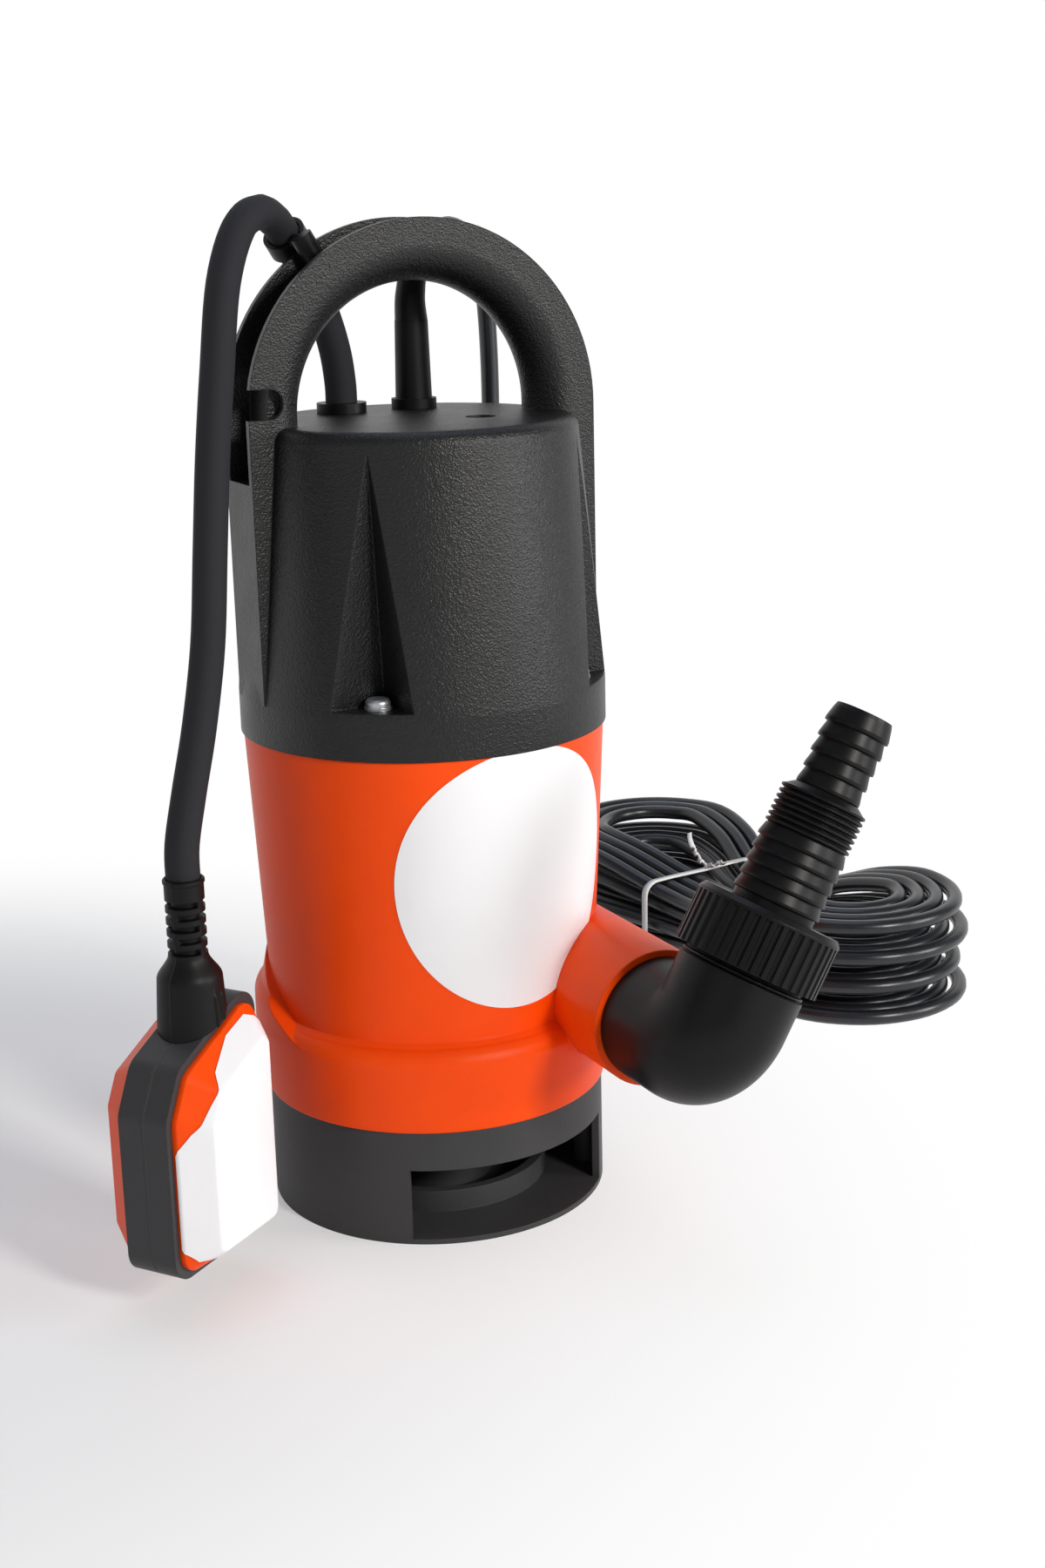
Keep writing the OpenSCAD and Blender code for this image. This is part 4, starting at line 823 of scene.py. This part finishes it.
class SUMP_OT_float_boot(bpy.types.Operator):
    """Turns the float's boot: wide collar, neck with staggered slots, ribs and a parting line"""

    bl_idname = "sump.float_boot"
    bl_label = "Float boot"

    def execute(self, context):
        collar = [(COLLAR_R - COLLAR_TAPER * z, z) for z in COLLAR_LEVELS]
        rows = [SLOT_FROM + k * SLOT_STEP for k in range(SLOT_ROWS)]
        neck = [(NECK_R, z + rise) for z in rows for rise in SLOT_LEVELS]
        mesh = bmesh.new()
        line = [mesh.verts.new((r, 0, z)) for r, z in (*collar, *SHOULDER, *neck, *LIP)]
        for pair in zip(line, line[1:]):
            mesh.edges.new(pair)
        bmesh.ops.spin(mesh, geom=[*mesh.verts, *mesh.edges], cent=(0, 0, 0), axis=(0, 0, 1),
                       angle=2 * math.pi, steps=BOOT_STEPS, use_merge=True)
        bmesh.ops.remove_doubles(mesh, verts=mesh.verts, dist=0.001)
        for vert in mesh.verts:
            reach = math.hypot(vert.co.x, vert.co.y)
            if reach > BOOT_SKIN:
                angle = math.degrees(math.atan2(vert.co.y, vert.co.x))
                push = self.relief(angle, vert.co.z) / reach
                vert.co.x *= 1 + push
                vert.co.y *= 1 + push
        bmesh.ops.translate(mesh, vec=(BOOT_X, 0, BOOT_FROM), verts=mesh.verts)
        bmesh.ops.bisect_plane(
            mesh, geom=[*mesh.verts, *mesh.edges, *mesh.faces], clear_inner=True,
            plane_co=(0, 0, FLOAT_TOP), plane_no=(-math.sin(TOP_SLANT), 0, math.cos(TOP_SLANT)))
        bmesh.ops.holes_fill(mesh, edges=[e for e in mesh.edges if e.is_boundary])
        bmesh.ops.recalc_face_normals(mesh, faces=mesh.faces)
        turn = Matrix.Rotation(FLOAT_TURN, 3, "Z")
        bmesh.ops.rotate(mesh, cent=(0, 0, 0), matrix=turn, verts=mesh.verts)
        bmesh.ops.translate(mesh, vec=FLOAT_AT, verts=mesh.verts)
        bmesh.ops.scale(mesh, vec=(MM, MM, MM), verts=mesh.verts)
        finish = finish_of("moulded_rubber")
        piece = put_mesh("float_boot_moulding", mesh, finish, "float")
        piece.data.set_sharp_from_angle(angle=BOOT_CREASE)
        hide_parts("float_boot")
        return {"FINISHED"}

    def relief(self, angle, height):
        """How far the boot's skin stands out, in millimetres, at an angle and a height."""
        side = abs(angle) % 180
        row = math.floor((height - SLOT_FROM + 0.01) / SLOT_STEP)
        rise = height - SLOT_FROM - row * SLOT_STEP
        if 0 <= row < SLOT_ROWS and 0.1 < rise < SLOT_H - 0.1:
            # rows change place: slots at the edges of the float, then at its faces
            off = min(side, 180 - side) if row % 2 == 0 else abs(side - 90)
            return -SLOT_DEEP * min(max((SLOT_REACH - off) / SLOT_SLOPE, 0), 1)
        face = abs(abs(angle) - 90)
        if RIB_LEVELS[0] < height < RIB_LEVELS[1] and RIB_ANGLES[0] < face < RIB_ANGLES[1]:
            return RIB_OUT
        return PARTING_OUT if side < PARTING_HALF or side > 180 - PARTING_HALF else 0


class SUMP_OT_twist_tie(bpy.types.Operator):
    """Ties the hank at its waist with a flat twist tie, its ends wrung and bent over"""

    bl_idname = "sump.twist_tie"
    bl_label = "Twist tie"

    def execute(self, context):
        waist = hank_waist(TIE_AT)
        half = HANK_WIDE - HANK_DRAW * waist + TIE_BESIDE
        low = hank_height(0, waist) - TIE_UNDER
        top = hank_height(HANK_LAYERS - 1, waist) + TIE_OVER
        mesh = bmesh.new()
        corners = [mesh.verts.new((0, v, z)) for v, z in
                   ((-half, low), (half, low), (half, top), (-half, top))]
        mesh.faces.new(corners)
        bmesh.ops.bevel(mesh, geom=corners, offset=TIE_BEND, offset_type="OFFSET", segments=6,
                        profile=0.5, affect="VERTICES", material=-1)
        straight = [e for e in mesh.edges if e.calc_length() > TIE_EDGE]
        bmesh.ops.subdivide_edges(mesh, edges=straight, cuts=TIE_CUTS)
        rim = list(mesh.edges)
        bmesh.ops.delete(mesh, geom=mesh.faces[:], context="FACES_ONLY")
        strip = bmesh.ops.extrude_edge_only(mesh, edges=rim)["geom"]
        bmesh.ops.translate(mesh, vec=(TIE_WIDE, 0, 0),
                            verts=[v for v in strip if isinstance(v, bmesh.types.BMVert)])
        self.wrung_ends(mesh, top)
        for vert in mesh.verts:
            sway = TIE_SWAY * math.sin(vert.co.y / TIE_WAVE) if vert.co.z > top - 1 else 0
            along = TIE_AT - TIE_WIDE / 2 + vert.co.x + sway
            vert.co = hank_place(along, vert.co.y, vert.co.z) * MM
        bmesh.ops.remove_doubles(mesh, verts=mesh.verts, dist=0.001 * MM)
        bmesh.ops.recalc_face_normals(mesh, faces=mesh.faces)
        piece = put_mesh("hank_twist_tie", mesh, finish_of("paper_tie"), "pump")
        wall = piece.modifiers.new("thickness", "SOLIDIFY")
        wall.thickness = TIE_THICK * MM
        wall.offset = 1
        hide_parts("hank_tie")
        return {"FINISHED"}

    def wrung_ends(self, mesh, top):
        """Two twisted tails that leave the knot on top of the hank."""
        for reach, rise, turns in TAILS:
            tail = bmesh.ops.create_grid(mesh, x_segments=TAIL_CUTS, y_segments=1, size=0.5)
            for vert in tail["verts"]:
                far, side = vert.co.x + 0.5, vert.co.y * TAIL_WIDE
                # wrung over its first half, flat over the rest
                twist = turns * 2 * math.pi * min(far * 2, 1)
                along = TIE_WIDE / 2 + reach * far
                across = KNOT_ACROSS + TAIL_DRIFT * far * far + side * math.cos(twist)
                lift = KNOT_UP + rise * math.sin(far * math.pi / 2)
                vert.co = (along, across, top + lift + side * math.sin(twist))


class SUMP_OT_node_finishes(bpy.types.Operator):
    """Gives every CAD node that stays its finish"""

    bl_idname = "sump.node_finishes"
    bl_label = "Finishes"

    def execute(self, context):
        for finish, nodes in NODE_FINISHES.items():
            for node in nodes.split():
                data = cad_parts[node].data
                data.materials.clear()
                data.materials.append(finish_of(finish))
        return {"FINISHED"}


class SUMP_OT_body_label(bpy.types.Operator):
    """Sticks the round blank label on the housing's tapered wall, under the cover's edge"""

    bl_idname = "sump.body_label"
    bl_label = "Body label"

    def execute(self, context):
        label = settings().label
        mesh = bmesh.new()
        line = [mesh.verts.new((label.body_radius * i / LABEL_RINGS, 0, 0))
                for i in range(LABEL_RINGS + 1)]
        for pair in zip(line, line[1:]):
            mesh.edges.new(pair)
        bmesh.ops.spin(mesh, geom=[*mesh.verts, *mesh.edges], cent=(0, 0, 0), axis=(0, 0, 1),
                       angle=2 * math.pi, steps=LABEL_SPOKES, use_merge=True)
        bmesh.ops.remove_doubles(mesh, verts=mesh.verts, dist=0.01 * MM)
        bmesh.ops.recalc_face_normals(mesh, faces=mesh.faces)
        top = SEAM_Z * MM - label.body_height
        bmesh.ops.bisect_plane(mesh, geom=[*mesh.verts, *mesh.edges, *mesh.faces],
                               plane_co=(0, top, 0), plane_no=(0, 1, 0), clear_outer=True)
        for vert in mesh.verts:
            height = label.body_height + vert.co.y
            reach = wall_radius(height / MM) * MM + label.film
            angle = label.body_angle + vert.co.x / (WALL_MEAN * MM)
            vert.co = (reach * math.sin(angle), -reach * math.cos(angle), height)
        # the outlet boss stands in the label's lower right
        hidden = []
        for face in mesh.faces:
            middle = face.calc_center_median()
            off = math.hypot(middle.x - BOSS_X * MM, middle.z - BOSS_Z * MM)
            if off < (BOSS_R - BOSS_UNDER) * MM:
                hidden.append(face)
        bmesh.ops.delete(mesh, geom=hidden, context="FACES")
        put_mesh("body_label", mesh, finish_of("satin_white_vinyl"), "pump")
        return {"FINISHED"}


class SUMP_OT_float_label(bpy.types.Operator):
    """Sticks the blank label on the float's front shell, over its flat face and its slopes"""

    bl_idname = "sump.float_label"
    bl_label = "Float label"

    def execute(self, context):
        mesh = bmesh.new()
        bmesh.ops.create_grid(mesh, x_segments=SHEET_STEPS * SHEET_WIDE,
                              y_segments=SHEET_STEPS * SHEET_TALL, size=0.5)
        bmesh.ops.scale(mesh, vec=(SHEET_WIDE, SHEET_TALL, 1), verts=mesh.verts)
        bmesh.ops.translate(mesh, vec=(0, SHEET_MIDDLE, 0), verts=mesh.verts)
        for a, b in zip(FLOAT_LABEL, (*FLOAT_LABEL[1:], FLOAT_LABEL[0])):
            bmesh.ops.bisect_plane(
                mesh, geom=[*mesh.verts, *mesh.edges, *mesh.faces], clear_outer=True,
                plane_co=(*a, 0), plane_no=(a[1] - b[1], b[0] - a[0], 0))
        shell = bmesh.new()
        shell.from_mesh(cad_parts["float_shell_front"].data)
        bmesh.ops.remove_doubles(shell, verts=shell.verts, dist=0.001 * MM)
        surface = BVHTree.FromBMesh(shell)
        shell.free()
        turn = Matrix.Rotation(FLOAT_TURN, 3, "Z")
        film = FLOAT_FILM * settings().label.film
        for vert in mesh.verts:
            # left of the shell's edge, what is over goes down its upright side
            over = max(FLOAT_EDGE - vert.co.x, 0)
            start = turn @ Vector((vert.co.x + over, SEARCH_FROM, vert.co.y)) + Vector(FLOAT_AT)
            place, normal = surface.ray_cast(start * MM, turn @ Vector((0, 1, 0)))[:2]
            if place is None:
                raise RuntimeError("the float's label reaches past its shell")
            if over:
                off = film + min(over, EDGE_OFF) * MM
                vert.co = place + turn @ Vector((-off, over * MM, 0))
            else:
                vert.co = place + normal * film
        inner = [v for v in mesh.verts if not v.is_boundary]
        bmesh.ops.smooth_vert(mesh, verts=inner, factor=0.5, use_axis_x=True, use_axis_y=True,
                              use_axis_z=True)
        bmesh.ops.recalc_face_normals(mesh, faces=mesh.faces)
        put_mesh("float_label", mesh, finish_of("satin_white_vinyl"), "float")
        return {"FINISHED"}


class SUMP_PT_panel(bpy.types.Panel):
    """Lists the pieces in the sidebar"""

    bl_idname = "SUMP_PT_panel"
    bl_label = "Sump pump"
    bl_space_type = "VIEW_3D"
    bl_region_type = "UI"
    bl_category = "Sump pump"

    def draw(self, context):
        for operator in OPERATORS:
            self.layout.operator(operator.bl_idname)
        for group in ("finish", "cord", "label", "stage"):
            values = getattr(settings(), group)
            box = self.layout.box()
            for name in values.__annotations__:
                box.prop(values, name)


OPERATORS = (SUMP_OT_stage, SUMP_OT_mains_cord, SUMP_OT_float_cable, SUMP_OT_bend_relief,
             SUMP_OT_float_boot, SUMP_OT_twist_tie, SUMP_OT_node_finishes, SUMP_OT_body_label,
             SUMP_OT_float_label)
CLASSES = (FinishSettings, CordSettings, LabelSettings, StageSettings, PumpSettings,
           *OPERATORS, SUMP_PT_panel)


def register():
    """Adds the classes and the scene's settings."""
    for each in CLASSES:
        bpy.utils.register_class(each)
    bpy.types.Scene.sump_pump = PointerProperty(type=PumpSettings)


def unregister():
    """Takes the settings and the classes away again."""
    del bpy.types.Scene.sump_pump
    for each in reversed(CLASSES):
        bpy.utils.unregister_class(each)


def main():
    """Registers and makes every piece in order."""
    register()
    bpy.ops.sump.stage()
    bpy.ops.sump.mains_cord()
    bpy.ops.sump.float_cable()
    bpy.ops.sump.bend_relief()
    bpy.ops.sump.float_boot()
    bpy.ops.sump.twist_tie()
    bpy.ops.sump.node_finishes()
    bpy.ops.sump.body_label()
    bpy.ops.sump.float_label()


if __name__ == "__main__":
    main()
